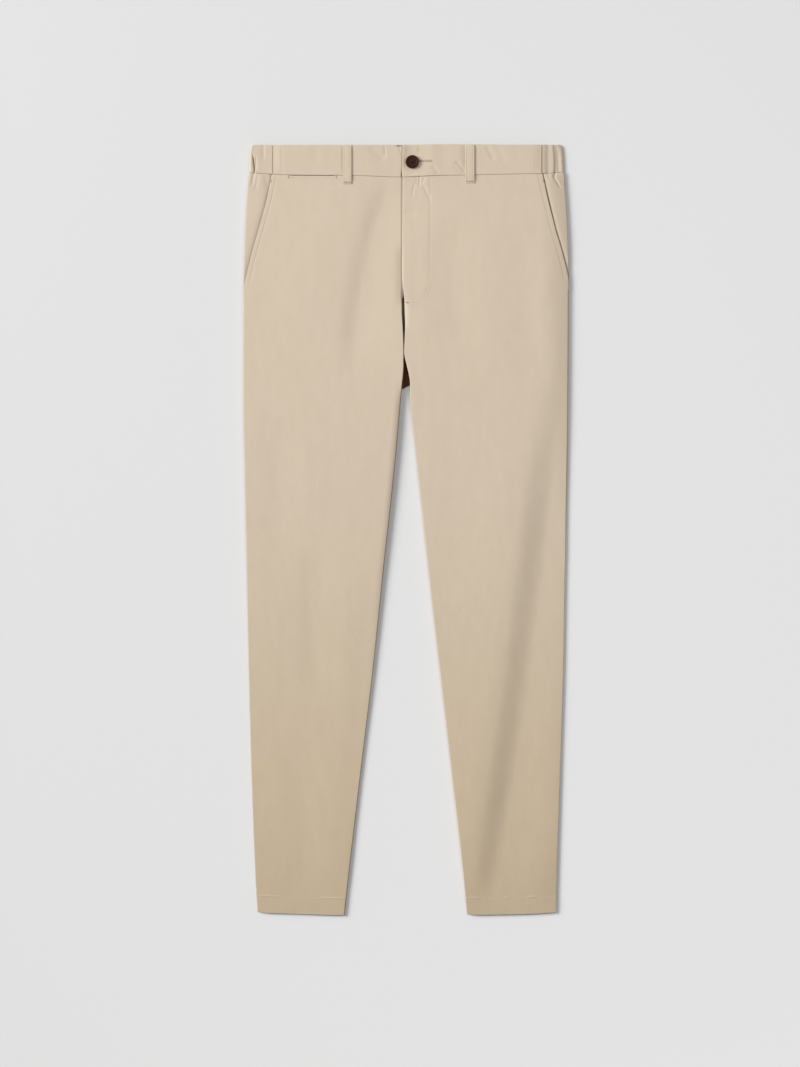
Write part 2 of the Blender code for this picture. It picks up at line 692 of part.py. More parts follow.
def make_facing(side):
    """The pocket facing: it shows outside the pocket's edge, and runs on under the front."""

    def inner_edge(y):
        return side.pocket(y) - side.outward * FACING_UNDERLAP

    levels = np.linspace(PANEL_TOP_Y, side.facing_end_y, RISE_ROWS)
    edges = in_order(side, side.seam, inner_edge)
    ends = (panel_top, lambda x: np.full_like(x, side.facing_end_y))
    x, y = panel_plan(levels, edges, ends, (FACING_STEPS, FACING_STEPS), FACING_MIDDLE)
    lowest = CLOTH + SEAM_GAP
    height = np.maximum(lay_height(x, y) - CLOTH - LAY_GAP, lowest + FACING_CLOTH)
    foot = np.maximum(height - FACING_CLOTH, lowest)
    closed_wall(f"pocket_facing_{side.name}", grid(x, y, height), grid(x, y, foot), TAN_SHADED)


def make_coin_facing():
    """The facing behind the coin pocket's slot, under both the band and the right front."""
    x = np.linspace(*COIN_FACING_X, 7)
    y = np.linspace(*COIN_FACING_Y, 4)[:, None]
    height = lay_height(x, y) - BAND_CLOTH - LAY_GAP
    outer, inner = grid(x, y, height), grid(x, y, height - FACING_CLOTH)
    closed_wall("coin_pocket_facing", outer, inner, TAN_SHADED)


def make_belt_loop(loop):
    """A strip over the waistband, tacked down at both ends and standing off it between them."""
    middle = (loop.low_x + loop.high_x) / 2
    top_y = band_top(middle) - LOOP_TOP_INSET
    x = np.array([loop.low_x, loop.low_x + LOOP_ROUND, middle, loop.high_x - LOOP_ROUND, loop.high_x])
    y = np.linspace(loop.low_y, top_y, LOOP_ROWS)[:, None]
    from_end = np.minimum(y - loop.low_y, top_y - y)
    foot = band_height(middle) + SEAM_GAP + LOOP_RISE * ease(from_end / LOOP_END_LENGTH)
    thickness = LOOP_CLOTH * np.array([LOOP_EDGE_SHARE, 1, 1, 1, LOOP_EDGE_SHARE])
    closed_wall(f"belt_loop_{loop.side}", grid(x, y, foot + thickness), grid(x, y, foot))


def make_button():
    """A turned button with a rim, a dish and four holes."""
    x, y = BUTTON_PLACE
    seat = float(band_height(x)) + OVERLAP_LIFT + SEAM_GAP
    shape = bmesh.new()
    points = [
        shape.verts.new((BUTTON_RADIUS * turn.radius, 0.0, BUTTON_THICKNESS * turn.height))
        for turn in BUTTON_PROFILE
    ]
    edges = [shape.edges.new(pair) for pair in zip(points, points[1:])]
    bmesh.ops.spin(
        shape,
        geom=points + edges,
        cent=(0, 0, 0),
        axis=(0, 0, 1),
        angle=2 * math.pi,
        steps=BUTTON_SIDES,
        use_merge=True,
    )
    bmesh.ops.remove_doubles(shape, verts=shape.verts, dist=1e-6)
    bmesh.ops.recalc_face_normals(shape, faces=shape.faces)
    mesh = bpy.data.meshes.new("button")
    shape.to_mesh(mesh)
    shape.free()
    button = add_object("button", mesh, BROWN_HORN, roughness=0.35)
    button.location = (x, y, seat)
    drill_button(button)


def drill_button(button):
    """Cuts the four holes of the button, through cutters that aren't part of it."""
    shape = bmesh.new()
    for turn in range(4):
        angle = math.pi / 4 + turn * math.pi / 2
        place = (
            BUTTON_HOLE_OFFSET * math.cos(angle),
            BUTTON_HOLE_OFFSET * math.sin(angle),
            BUTTON_THICKNESS / 2,
        )
        made = bmesh.ops.create_cone(
            shape,
            cap_ends=True,
            segments=HOLE_SIDES,
            radius1=BUTTON_HOLE_RADIUS,
            radius2=BUTTON_HOLE_RADIUS,
            depth=2 * BUTTON_THICKNESS,
        )
        bmesh.ops.translate(shape, verts=made["verts"], vec=place)
    cut(button, "button_holes", shape)


def main():
    for old in list(bpy.data.objects):
        bpy.data.objects.remove(old, do_unlink=True)
    for side in (RIGHT, LEFT):
        make_back(side)
        make_front(side)
        make_facing(side)
        make_elastic(side)
    make_underlap_band()
    make_overlap_band()
    make_back_band()
    make_coin_facing()
    for loop in BELT_LOOPS:
        make_belt_loop(loop)
    make_button()


main()
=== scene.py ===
"""Looks of chino trousers laid flat, face up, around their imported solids.

Each solid piece of cloth gets a finer sheet on the same form, with its creases, and its stitches as
real thread. Units are metres in the solids' frame: +X is the wearer's left, +Y runs up to the
waist, +Z comes up out of the front, and the trousers lie on z = 0.
"""

import math
from collections import namedtuple
from functools import partial

import bmesh
import bpy
import numpy as np
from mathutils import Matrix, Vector, noise


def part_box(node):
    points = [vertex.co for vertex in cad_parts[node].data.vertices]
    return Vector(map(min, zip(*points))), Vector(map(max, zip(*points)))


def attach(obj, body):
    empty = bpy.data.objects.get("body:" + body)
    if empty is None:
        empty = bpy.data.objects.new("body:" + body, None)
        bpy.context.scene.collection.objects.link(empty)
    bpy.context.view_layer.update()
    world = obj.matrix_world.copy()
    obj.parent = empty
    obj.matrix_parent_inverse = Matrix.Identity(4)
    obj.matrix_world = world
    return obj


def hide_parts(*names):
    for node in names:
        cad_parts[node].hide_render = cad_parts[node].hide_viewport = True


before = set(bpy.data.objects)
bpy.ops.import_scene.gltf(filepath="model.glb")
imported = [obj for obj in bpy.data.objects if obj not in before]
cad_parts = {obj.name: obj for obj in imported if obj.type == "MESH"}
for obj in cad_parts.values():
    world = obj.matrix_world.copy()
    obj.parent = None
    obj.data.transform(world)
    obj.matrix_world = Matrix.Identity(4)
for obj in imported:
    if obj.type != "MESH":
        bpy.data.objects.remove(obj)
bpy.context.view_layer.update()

# Cloth, as in the solids
CLOTH = 0.0012
SEAM_GAP = 0.0003
LAY_GAP = 0.0005
FACING_CLOTH = 0.0012
BAND_CLOTH = 0.0020

# How the front lies on the back, as in the solids but with sharper edges
CROWN = 0.0080
MOST_HEIGHT = 0.0090
EDGE_HEIGHT = 2 * CLOTH + SEAM_GAP
WAIST_DROP = 0.0003
WAIST_DROP_LENGTH = 0.110
RIGHT_HEM_DROP = 0.0040
LEFT_HEM_DROP = 0.0004
HEM_DROP_Y = (0.180, -0.350)  # between these levels each leg gets lower
CRISP_ROLL = 0.0004
SoftEdge = namedtuple("SoftEdge", "radius steep_radius low_share high_share")
SIDE_EDGE = SoftEdge(0.036, 0.0005, 0.15, 0.25)
INSEAM_EDGE = SoftEdge(0.0075, 0.0004, 0.66, 0.60)
STEEP_Y = (-0.150, 0.080)
CLEFT_TOP_Y = 0.306
CLEFT_FULL_Y = 0.255
CRISP_INSEAM_Y = (0.165, 0.200)
CLOSED_Y = 0.2370  # where the two fronts meet again above the crotch
CLOSED_HALF_LENGTH = 0.0060
HEM_FALL_LENGTH = 0.080
HEM_FALL_SHARE = 0.88
FRONT_SPARE = 0.0001  # by which a front's wall is thicker than its cloth

# Pressed and sewn edges: over what length the outer face rounds down, and how far
Rounding = namedtuple("Rounding", "length drop")
EDGE_ROUND = Rounding(0.0010, 0.0006)  # of the fly and of the waistband's overlap
SIDE_ROUND = Rounding(0.0004, 0.0002)
POCKET_ROUND = Rounding(0.0005, 0.0002)
SEAM_ROUND = Rounding(0.0008, 0.0002)
HEM_ROUND = Rounding(0.0006, 0.0002)
FOOT_ROUND = Rounding(0.0008, 0.0004)  # the underside's edges, which round up
BAND_ROUND = Rounding(0.0012, 0.0004)
LOOP_ROUND = Rounding(0.0006, 0.0004)
SHARP_ANGLE = math.radians(50)  # edges sharper than this aren't shaded smooth

# Hem
HEM_DEPTH = 0.0226
HEM_STEP = 0.0004
HEM_STEP_LENGTH = 0.002
HEM_STREAK_RISE = 0.0007
HEM_STREAK_HALF_DEPTH = 0.0009
HEM_STREAK_END = 0.003

# Waistband
BAND_PROUD = 0.0004
RIGHT_ELASTIC_X = 0.1772
LEFT_ELASTIC_X = 0.1800
ELASTIC_BACK_X = 0.1600
RIGHT_JOINT_SHADE = 0.32  # how dark the painted shade in each joint with the elastic is
LEFT_JOINT_SHADE = 0.55
JOINT_SHADE_WIDTH = 0.0009
RIGHT_TURN = 0.0020
LEFT_TURN = 0.0040
TURN_SETTLE_LENGTH = 0.0030  # over which the gathers end before the turn
LEFT_FALL = 0.0048
UNDERLAP_END_X = 0.0310
OVERLAP_LIFT = 0.0007
OVERLAP_LIFT_LENGTH = 0.020
OVERLAP_LEAN_LENGTH = 0.010
BAND_DIP = BAND_CLOTH + LAY_GAP - OVERLAP_LIFT
BAND_DIP_LENGTH = 0.0030
BAND_DIP_LEAD = 0.45  # share of that length that comes before the overlap's edge
BAND_MIDDLE = 0.019  # up from the waist seam to the middle of the band
FLY_X = 0.0057
OVERLAP_EVEN = 0.0036  # in from the overlap's edge to its evenly spaced columns
SLIT_SHARPNESS = 4  # power that keeps the painted shade of the deep crease near its middle
GATHER_DEPTH = 0.0006  # of the gathers underneath
GATHER_PITCH = 0.0074
GATHER_WAVER = 1.2
GATHER_WAVER_RATE = 190  # radians a metre

# Fly
FLY_UNDERLAP = 0.0100
FLY_DIP = CLOTH + LAY_GAP
FLY_DIP_LENGTH = 0.0045
FLY_DIP_LEAD = 0.5  # share of that length that comes before the inner edge
FLY_END_LENGTH = 0.012
FLY_LIFT = 0.0003  # of the fly's edge over the right front
FLY_LIFT_LENGTH = 0.020
FLY_EDGE_CLOTH = 0.0011  # wall of the left front at the fly's edge

# On the wearer's left the back shows past the front's side seam, between these levels
BACK_SHOWS = 0.0013
BACK_SHOWS_Y = (-0.060, 0.375)
BACK_SHOWS_ENDS = (0.120, 0.050)

# Pockets
FACING_UNDERLAP = 0.0120
FACING_END_Y = 0.3202  # close above where each pocket's edge meets its side seam
FACING_LIFT = 0.0016  # how far a facing rises outside the pocket's edge
FACING_LIFT_LENGTH = 0.0026
FACING_CLEARANCE = 0.0001  # from the pocket's edge, where the facing stays lower than the front
THINNEST = 0.00006  # wall of a facing where it is squeezed at its lower end
POCKET_SHADE_WIDTH = 0.0027  # how far out of the pocket its painted shade reaches
POCKET_GROOVE_END = 0.020  # length over which the stitches' groove begins, at the pocket's foot
POCKET_ROUND_END = 0.006  # and over which the side seam's rounded edge becomes the pocket's
COIN_SLOT_X = (-0.1565, -0.0926)
COIN_SLOT_OPEN = 0.0009
COIN_SLOT_END = 0.006
COIN_FACING_X = (-0.1605, -0.0886)
COIN_FACING_Y = (0.4790, 0.4600)

# The painted shade on the inside of the back that shows between the legs
CLEFT_SHADE_Y = (0.176, 0.340)
CLEFT_SHADE_END = 0.008
CLEFT_SHADE_HALF_WIDTH = 0.012
CLEFT_PALE_Y = (0.266, 0.296)  # above here the painted shade is lighter
CLEFT_PALE_SHARE = 0.30
FLY_FOOT_SHADE_Y = (0.336, 0.306)  # where painted shade darkens the right front as it goes in under the fly
FLY_FOOT_SHADE_WIDTH = 0.0014
FLY_FOOT_SHADE = 0.8

# Belt loops
LOOP_CLOTH = 0.0008
LOOP_RISE = 0.0004
LOOP_END_LENGTH = 0.008
LOOP_TOP_INSET = 0.0005
LOOP_STITCH_INSET = 0.0018
LOOP_GROOVE_SHARE = 0.7
LOOP_FOOT_DROP = 0.0003  # at its lower tack
LOOP_FOOT_LENGTH = 0.010

# Buttonhole
BUTTONHOLE_X = (0.0070, 0.0325)
BUTTONHOLE_WIDTH = 0.00008
BUTTONHOLE_Y = 0.4897
EYELET_X = 0.0188
EYELET_RADIUS = 0.0008
EYELET_SIDES = 20
CUTTER_DEPTH = 10 * BAND_CLOTH

# Stitches
PATH_STEP = 0.001  # between the points of a path that stitches follow
THREAD_RADIUS = 0.00020
THREAD_SIDES = 6
THREAD_END_SHARE = 0.45  # of its radius at both ends of a stitch
STITCH_PITCH = 0.0027
STITCH_SHARE = 0.80  # of the pitch that shows
STITCH_RISE = 0.00010
STITCH_DIP = 0.00030
STITCH_FLATNESS = 4  # power that keeps a stitch's middle flat
STITCH_PLACES = np.linspace(-0.5, 0.5, 5)  # of the points along a stitch
GROOVE_DEPTH = 0.00022
GROOVE_HALF_WIDTH = 0.0006
TACK_STEP = 0.00042
TACK_WIDTH = 0.0019
TACK_RISE = 0.00016
TACK_LEAN = 0.3  # of its step, from one end of a stitch to the other

# Rows of stitches: how far each is in from its edge, and where its tacks are
POCKET_STITCH_INSET = 0.0060
POCKET_ROW_TOP_Y = 0.4735
POCKET_ROW_END = 0.010  # above the pocket's foot
POCKET_TACK_Y = 0.4648
POCKET_TACK_EDGE_Y = 0.464
POCKET_TACK_INSET = 0.0005
POCKET_TACK_SLOPE = 0.2
POCKET_TACK_LENGTH = 0.0036
SECOND_FLY_ROW_TOP_Y = 0.330
SECOND_FLY_ROW_GAP = 0.0034
FLY_TACK_PLACE = (-0.0008, 0.3020)
FLY_TACK_LENGTH = 0.0040
COIN_STITCH_INSET = 0.0030
COIN_TACK_Y = 0.4722
COIN_TACK_INSET = 0.0002
COIN_TACK_LENGTH = 0.0055
HEM_STITCH_INSET = 0.0215
HEM_STITCH_PITCH = 0.0034
HEM_ROW_Y = -0.49
HEM_ROW_INSET = 0.0015
JOINT_STITCH_INSETS = (0.0098, 0.0104)
BAND_ROW_INSET = 0.001
LOOP_ROW_INSET = 0.002
LOOP_TACK_INSET = 0.0012
LOOP_TACK_RISE = 0.0022

# Stitches round the buttonhole
HOLE_STITCH_START = 0.0004  # past the eyelet
HOLE_STITCH_END = 0.0016  # past the slit's end
HOLE_STITCH_PITCH = 0.0005
HOLE_STITCH_LENGTH = 0.0014
HOLE_STITCH_DIP = 0.0004
HOLE_STITCH_AWAY = 0.00095  # from the slit to the middle of a stitch
EYELET_STITCH_AWAY = 0.0006
EYELET_STITCHES = 18

# The thread cross in the button
BUTTON_DISH = 0.0008  # depth of the button's dish
BUTTON_THREAD_RADIUS = 0.00026
BUTTON_THREAD_LENGTH = 0.0040
BUTTON_THREAD_STEP = 0.00035
BUTTON_THREAD_RISE = 0.00045
BUTTON_THREAD_DIP = 0.0014
BUTTON_THREAD_FLATNESS = 6
BUTTON_THREAD_POINTS = 7

# Colours, each finish from its paler one to its darker one
TWILL_COLOURS = ((0.443, 0.369, 0.285, 1.0), (0.420, 0.346, 0.262, 1.0))
THREAD_COLOURS = ((0.40, 0.32, 0.23, 1.0), (0.33, 0.26, 0.18, 1.0))
BUTTON_THREAD_COLOURS = ((0.020, 0.010, 0.008, 1.0), (0.010, 0.006, 0.005, 1.0))
RESIN_COLOURS = ((0.034, 0.012, 0.005, 1.0), (0.012, 0.004, 0.002, 1.0))
WHITE = (1.0, 1.0, 1.0, 1.0)
SHEEN_TINT = (1.0, 0.93, 0.84, 1.0)

# Painted shade: the cloth is warmer and darker towards the hems, and dark brown in the shade of its openings
# and creases
PAINTED_HEM_SHADE_Y = (0.04, -0.47)
PAINTED_HEM_SHADE_TINT = (0.975, 0.931, 0.838, 1.0)
PAINTED_SHADE_COLOUR = (0.046, 0.013, 0.004, 1.0)
RIB_SLANT = math.radians(-27)
MOTTLE_SCALE = (1.0, 0.35, 1.0)  # its patches are long along the legs

# Floor: its tone is lowest at one place and rises with the square of the distance from it
FLOOR_HALF = 4.0
FLOOR_GAP = 0.0003
FLOOR_TONE = 0.493
FLOOR_MOST_TONE = 0.86
FLOOR_DARKEST = (-0.328, 0.421, 0.0)
FLOOR_CURVE = (0.274, 0.362, 0.0)

# The camera, straight above the middle of the picture, and the world's light
CAMERA_PLACE = (-0.0082, -0.0050, 3.353)
CAMERA_LENS = 85.0
CAMERA_SENSOR_WIDTH = 36.0
WORLD_STRENGTH = 0.41

# Columns of the tables
Level = namedtuple("Level", "y right left")
Place = namedtuple("Place", "x y")
EdgePlace = namedtuple("EdgePlace", "y x")
Fold = namedtuple("Fold", "start_x start_y end_x end_y bow width_right width_left height")
Loop = namedtuple("Loop", "side low_x high_x low_y")
Side = namedtuple("Side", "name outward seam inner pocket dark crotch_y turn fall elastic_x joint_shade")
Spot = namedtuple("Spot", "x y half_x half_y amount")
Lumps = namedtuple("Lumps", "rise size_x size_y seed")
Rows = namedtuple("Rows", "start end spacing")

# x of the two side seams at each level
SIDE_SEAMS = (
    Level(0.5125, -0.2030, 0.2042),
    Level(0.5080, -0.2066, 0.2072),
    Level(0.4970, -0.2082, 0.2086),
    Level(0.4700, -0.2083, 0.2099),
    Level(0.4520, -0.2107, 0.2112),
    Level(0.3990, -0.2137, 0.2144),
    Level(0.3190, -0.2161, 0.2164),
    Level(0.1860, -0.2164, 0.2157),
    Level(0.0800, -0.2147, 0.2145),
    Level(-0.0540, -0.2119, 0.2112),
    Level(-0.1870, -0.2091, 0.2089),
    Level(-0.3200, -0.2056, 0.2049),
    Level(-0.4530, -0.2006, 0.2006),
    Level(-0.5130, -0.1973, 0.1989),
)

# x of the two inseams at each level, from the crotch down
INSEAMS = (
    Level(0.1860, -0.0060, 0.0050),
    Level(0.1060, -0.0129, 0.0122),
    Level(0.0260, -0.0211, 0.0209),
    Level(-0.0540, -0.0301, 0.0295),
    Level(-0.1870, -0.0440, 0.0448),
    Level(-0.3200, -0.0600, 0.0602),
    Level(-0.4530, -0.0755, 0.0755),
    Level(-0.5130, -0.0822, 0.0812),
)

# x of the inner edge of each front from the waist seam to the crotch; the left one is the fly's edge
FRONT_RISE = (
    Level(0.4760, -0.0050, -0.0046),
    Level(0.3990, -0.0054, -0.0051),
    Level(0.3390, -0.0054, -0.0049),
    Level(0.3250, -0.0053, -0.0040),
    Level(0.3040, -0.0055, -0.0023),
    Level(0.2920, -0.0055, -0.0021),
    Level(0.2720, -0.0044, -0.0016),
    Level(0.2540, -0.0035, -0.0021),
    Level(0.2360, -0.0032, -0.0028),
    Level(0.2180, -0.0033, 0.0008),
    Level(0.2060, -0.0040, 0.0036),
    Level(0.1940, -0.0053, 0.0052),
)

# y of the slanted pocket edges and their x, down to the side seam
POCKET_EDGES = (
    Level(0.4760, -0.1776, 0.1797),
    Level(0.4630, -0.1800, 0.1827),
    Level(0.4370, -0.1855, 0.1888),
    Level(0.4180, -0.1905, 0.1935),
    Level(0.3980, -0.1961, 0.1986),
    Level(0.3770, -0.2022, 0.2050),
    Level(0.3530, -0.2084, 0.2116),
    Level(0.3350, -0.2127, 0.2156),
    Level(0.3190, -0.2161, 0.2164),
)
POCKET_END_Y = POCKET_EDGES[-1].y

# How dark the painted shade inside each pocket is along its edge
POCKET_SHADES = (
    Level(0.4760, 0.38, 1.00),
    Level(0.4500, 0.36, 1.00),
    Level(0.4250, 0.22, 0.90),
    Level(0.3850, 0.08, 0.60),
    Level(0.3500, 0.00, 0.60),
    Level(0.3350, 0.00, 0.80),
    Level(0.3190, 0.00, 0.60),
)

# The centre back seam, and the level at which each back panel turns into its inseam
BACK_SEAM_X = -0.0040
RIGHT_CROTCH_Y = 0.1880
LEFT_CROTCH_Y = 0.1945
CROTCH_POINT_Y = 0.1872
CROTCH_STEP = 0.0010

WAIST_SEAM = (
    Place(-0.2100, 0.4744),
    Place(-0.1545, 0.4713),
    Place(-0.0721, 0.4706),
    Place(-0.0056, 0.4685),
    Place(0.0303, 0.4700),
    Place(0.0782, 0.4712),
    Place(0.1820, 0.4734),
    Place(0.2100, 0.4757),
)

BAND_TOP = (
    Place(-0.2100, 0.5110),
    Place(-0.0056, 0.5112),
    Place(0.0600, 0.5120),
    Place(0.1500, 0.5112),
    Place(0.2100, 0.5120),
)

HEMS = (
    Place(-0.1990, -0.5076),
    Place(-0.1851, -0.5096),
    Place(-0.1426, -0.5110),
    Place(-0.0833, -0.5127),
    Place(0.0818, -0.5108),
    Place(0.0915, -0.5122),
    Place(0.1553, -0.5112),
    Place(0.1986, -0.5090),
)

BELT_LOOPS = (Loop("right", -0.0841, -0.0724, 0.4592), Loop("left", 0.0786, 0.0908, 0.4604))

# The edge of the waistband's overlap, from its top down
OVERLAP_EDGE = (
    EdgePlace(0.5120, -0.0046),
    EdgePlace(0.4850, -0.0051),
    EdgePlace(0.4680, -0.0054),
)

# Painted shade in the openings at both ends of that edge
OVERLAP_SHADES = (
    Spot(-0.0062, 0.4705, 0.0010, 0.0060, 0.92),
    Spot(-0.0100, 0.5098, 0.0036, 0.0009, 0.90),
)

# Painted shade around the button, where it presses into the overlap
BUTTON_SHADES = (
    Spot(-0.0018, 0.4890, 0.0030, 0.0075, 0.34),
    Spot(-0.0005, 0.5050, 0.0036, 0.0060, 0.16),
    Spot(0.0158, 0.5050, 0.0022, 0.0050, 0.16),
    Spot(0.0086, 0.4800, 0.0090, 0.0030, 0.14),
)

# The row of stitches that holds the fly, from the waist seam down and round to the fly's edge
FLY_STITCHES = (
    Place(0.0317, 0.4695),
    Place(0.0314, 0.4000),
    Place(0.0311, 0.3455),
    Place(0.0300, 0.3330),
    Place(0.0258, 0.3162),
    Place(0.0210, 0.3085),
    Place(0.0152, 0.3033),
    Place(0.0090, 0.3008),
    Place(0.0035, 0.3004),
    Place(-0.0022, 0.3014),
)

# Folds: each is a trough or a ridge along a bowed line. Its width is told on the wearer's right of
# the line and on the left of it, because most folds are steeper on one side.
LEG_FOLDS = (
    Fold(-0.004, 0.500, -0.070, 0.180, -0.0170, 0.016, 0.040, -0.0021),
    Fold(-0.120, 0.440, -0.150, 0.240, 0.0060, 0.030, 0.030, 0.0004),
    Fold(-0.122, 0.000, -0.118, -0.240, -0.0050, 0.016, 0.026, -0.0009),
    Fold(-0.165, 0.170, -0.180, -0.060, 0.0030, 0.020, 0.024, -0.0006),
    Fold(-0.040, 0.000, -0.076, -0.500, 0.0000, 0.016, 0.030, -0.0006),
    Fold(-0.150, -0.270, -0.135, -0.500, 0.0040, 0.018, 0.022, -0.0007),
    Fold(0.216, 0.250, 0.094, -0.620, 0.0110, 0.025, 0.110, -0.0045),
    Fold(0.176, 0.250, 0.070, -0.600, 0.0060, 0.060, 0.018, 0.0013),
    Fold(0.060, 0.440, 0.085, 0.200, -0.0070, 0.026, 0.022, -0.0008),
    Fold(0.150, 0.420, 0.168, 0.160, 0.0040, 0.024, 0.020, -0.0006),
)

# The deep crease of the right elastic piece, and how dark its painted shade is
SLIT_SHADE = 0.85
SLIT = Fold(-0.2037, 0.5010, -0.2003, 0.4690, 0.0004, 0.0013, 0.0006, -0.0018)

# The share of its fall that the left elastic piece has come down, at each distance from the middle
FALL_SHARES = (
    Place(0.1805, 0.0),
    Place(0.1835, 0.09),
    Place(0.1895, 0.42),
    Place(0.1935, 0.45),
    Place(0.1955, 0.49),
    Place(0.2040, 1.0),
)

# Small creases of the waistband and just under it
WAIST_CREASES = (
    # gathers of the right elastic piece, and the creases that run on from them
    SLIT,
    Fold(-0.1998, 0.4980, -0.1990, 0.4740, 0.0000, 0.0010, 0.0012, -0.0005),
    Fold(-0.1892, 0.5200, -0.1896, 0.4880, 0.0000, 0.0030, 0.0020, -0.0004),
    Fold(-0.1778, 0.5500, -0.1778, 0.4620, 0.0000, 0.0200, 0.0070, -0.0008),
    Fold(-0.2014, 0.4790, -0.2056, 0.4540, 0.0003, 0.0014, 0.0014, -0.0008),
    Fold(-0.1955, 0.4770, -0.2012, 0.4480, 0.0000, 0.0020, 0.0020, -0.0004),
    Fold(-0.1872, 0.4740, -0.1850, 0.4500, 0.0008, 0.0030, 0.0030, -0.0005),
    # gathers of the left elastic piece, and the creases that run on from them
    Fold(0.1940, 0.5225, 0.1962, 0.4640, 0.0028, 0.0014, 0.0070, -0.0009),
    Fold(0.1808, 0.5400, 0.1808, 0.4600, 0.0000, 0.0066, 0.0200, -0.0010),
    Fold(0.1990, 0.4790, 0.1952, 0.4660, 0.0003, 0.0012, 0.0012, -0.0011),
    Fold(0.1950, 0.4715, 0.2066, 0.4530, -0.0006, 0.0010, 0.0013, -0.0012),
    Fold(0.1975, 0.4700, 0.2075, 0.4560, 0.0000, 0.0012, 0.0012, 0.0004),
    Fold(0.1866, 0.4765, 0.1902, 0.4660, 0.0003, 0.0010, 0.0012, -0.0007),
    # soft creases of the waistband
    Fold(0.0790, 0.5200, 0.0790, 0.4660, 0.0000, 0.0046, 0.0012, -0.0009),
    Fold(-0.0838, 0.5200, -0.0838, 0.4660, 0.0000, 0.0016, 0.0010, -0.0006),
    Fold(0.0095, 0.5500, 0.0110, 0.4640, 0.0000, 0.0110, 0.0240, -0.0011),
    Fold(0.0168, 0.5300, 0.0168, 0.4940, 0.0000, 0.0045, 0.0016, -0.0002),
    Fold(-0.0530, 0.5080, -0.0250, 0.4900, 0.0010, 0.0050, 0.0040, -0.0006),
    Fold(-0.0286, 0.5125, -0.0276, 0.4940, 0.0000, 0.0020, 0.0014, -0.0004),
    Fold(-0.0112, 0.5120, -0.0040, 0.4950, 0.0000, 0.0012, 0.0009, -0.0005),
    Fold(0.1035, 0.5140, 0.1165, 0.4880, 0.0006, 0.0022, 0.0050, -0.0005),
    Fold(0.0645, 0.4920, 0.0800, 0.4720, 0.0004, 0.0034, 0.0026, -0.0007),
    Fold(0.0610, 0.4850, 0.0760, 0.4700, 0.0000, 0.0020, 0.0018, -0.0003),
    Fold(0.1200, 0.5120, 0.1320, 0.4860, 0.0000, 0.0040, 0.0040, -0.0003),
    Fold(0.0330, 0.4850, 0.0450, 0.4720, 0.0000, 0.0030, 0.0020, -0.0005),
    Fold(-0.1210, 0.5100, -0.1190, 0.4850, 0.0000, 0.0060, 0.0050, -0.0002),
    # puckers below the waistband, at the fly
    Fold(0.0132, 0.4640, 0.0078, 0.4390, -0.0010, 0.0010, 0.0010, -0.0005),
    Fold(0.0137, 0.4720, 0.0139, 0.4570, 0.0000, 0.0009, 0.0009, -0.0004),
    Fold(0.0120, 0.4590, 0.0245, 0.4592, 0.0000, 0.0009, 0.0011, -0.0003),
    Fold(0.0212, 0.4585, 0.0256, 0.4695, 0.0006, 0.0011, 0.0011, -0.0004),
    Fold(0.0210, 0.4600, 0.0335, 0.4340, 0.0006, 0.0022, 0.0018, -0.0005),
    # the right front turns down towards the fly's foot
    Fold(-0.0054, 0.3850, -0.0054, 0.2880, 0.0000, 0.0055, 0.0006, -0.0014),
    # and the left front down into the gap below it
    Fold(-0.0022, 0.3120, -0.0018, 0.2640, 0.0000, 0.0006, 0.0030, -0.0012),
    Fold(-0.0080, 0.4215, 0.0150, 0.4200, 0.0000, 0.0024, 0.0016, -0.0007),
    Fold(0.0185, 0.4730, 0.0172, 0.4540, 0.0000, 0.0012, 0.0010, -0.0006),
    Fold(-0.0990, 0.4590, -0.0870, 0.4575, 0.0000, 0.0009, 0.0008, -0.0005),
)

# Where along x the seam of the hem puckers up
HEM_STREAKS = (
    (-0.1950, -0.1660),
    (-0.1150, -0.0800),
    (0.0820, 0.0990),
    (0.1310, 0.1370),
    (0.1600, 0.1730),
)

# Hollows of the underside, which otherwise lies on the surface
BACK_FOLDS = (
    Fold(-0.040, 0.380, -0.070, 0.150, 0.0060, 0.012, 0.018, 0.0009),
    Fold(-0.120, 0.160, -0.135, -0.150, -0.0050, 0.016, 0.012, 0.0007),
    Fold(-0.075, 0.020, -0.105, -0.380, 0.0040, 0.012, 0.014, 0.0008),
    Fold(0.045, 0.400, 0.070, 0.130, -0.0050, 0.014, 0.012, 0.0008),
    Fold(0.170, 0.120, 0.120, -0.420, -0.0040, 0.014, 0.020, 0.0010),
    Fold(0.085, 0.050, 0.100, -0.300, 0.0050, 0.012, 0.012, 0.0006),
    Fold(-0.165, 0.420, -0.150, 0.200, 0.0030, 0.016, 0.020, 0.0006),
    Fold(0.150, 0.400, 0.165, 0.210, 0.0030, 0.018, 0.016, 0.0006),
)
FOLD_FADE = 0.3

# The slight unevenness of pressed cloth
DRAPE = (Lumps(0.00010, 0.030, 0.110, 1.7), Lumps(0.00004, 0.011, 0.040, 5.2))

# Steps in from an edge to the rows or columns of points near it
EDGE_STEPS = (0.0, 0.00008, 0.0003, 0.0007, 0.0012, 0.0019, 0.0028)
POCKET_STEPS = EDGE_STEPS + (0.0040, 0.0050, 0.0055, 0.0060, 0.0065, 0.0070, 0.0082)
FLY_STEPS = EDGE_STEPS + (0.0050, 0.0080) + tuple(np.arange(0.0105, 0.0330, 0.0012))
FLY_STEPS += (0.0345, 0.0360, 0.0365, 0.0370, 0.0375, 0.0385)
UNDERLAP_STEPS = tuple(np.arange(0.0, 0.0075, 0.0005)) + (0.0080, 0.0088, 0.0100)
HEM_STEPS = (0.0, 0.0001, 0.0005, 0.0011, 0.0018, 0.0026)
BAND_STEPS = (0.0, 0.0001, 0.0004, 0.0009, 0.0015, 0.0024)
LOOP_STEPS = (0.0, 0.0001, 0.0003, 0.0006, 0.0010, 0.0014, 0.0018, 0.0022, 0.0028)
LOOP_END_STEPS = LOOP_STEPS[:6]
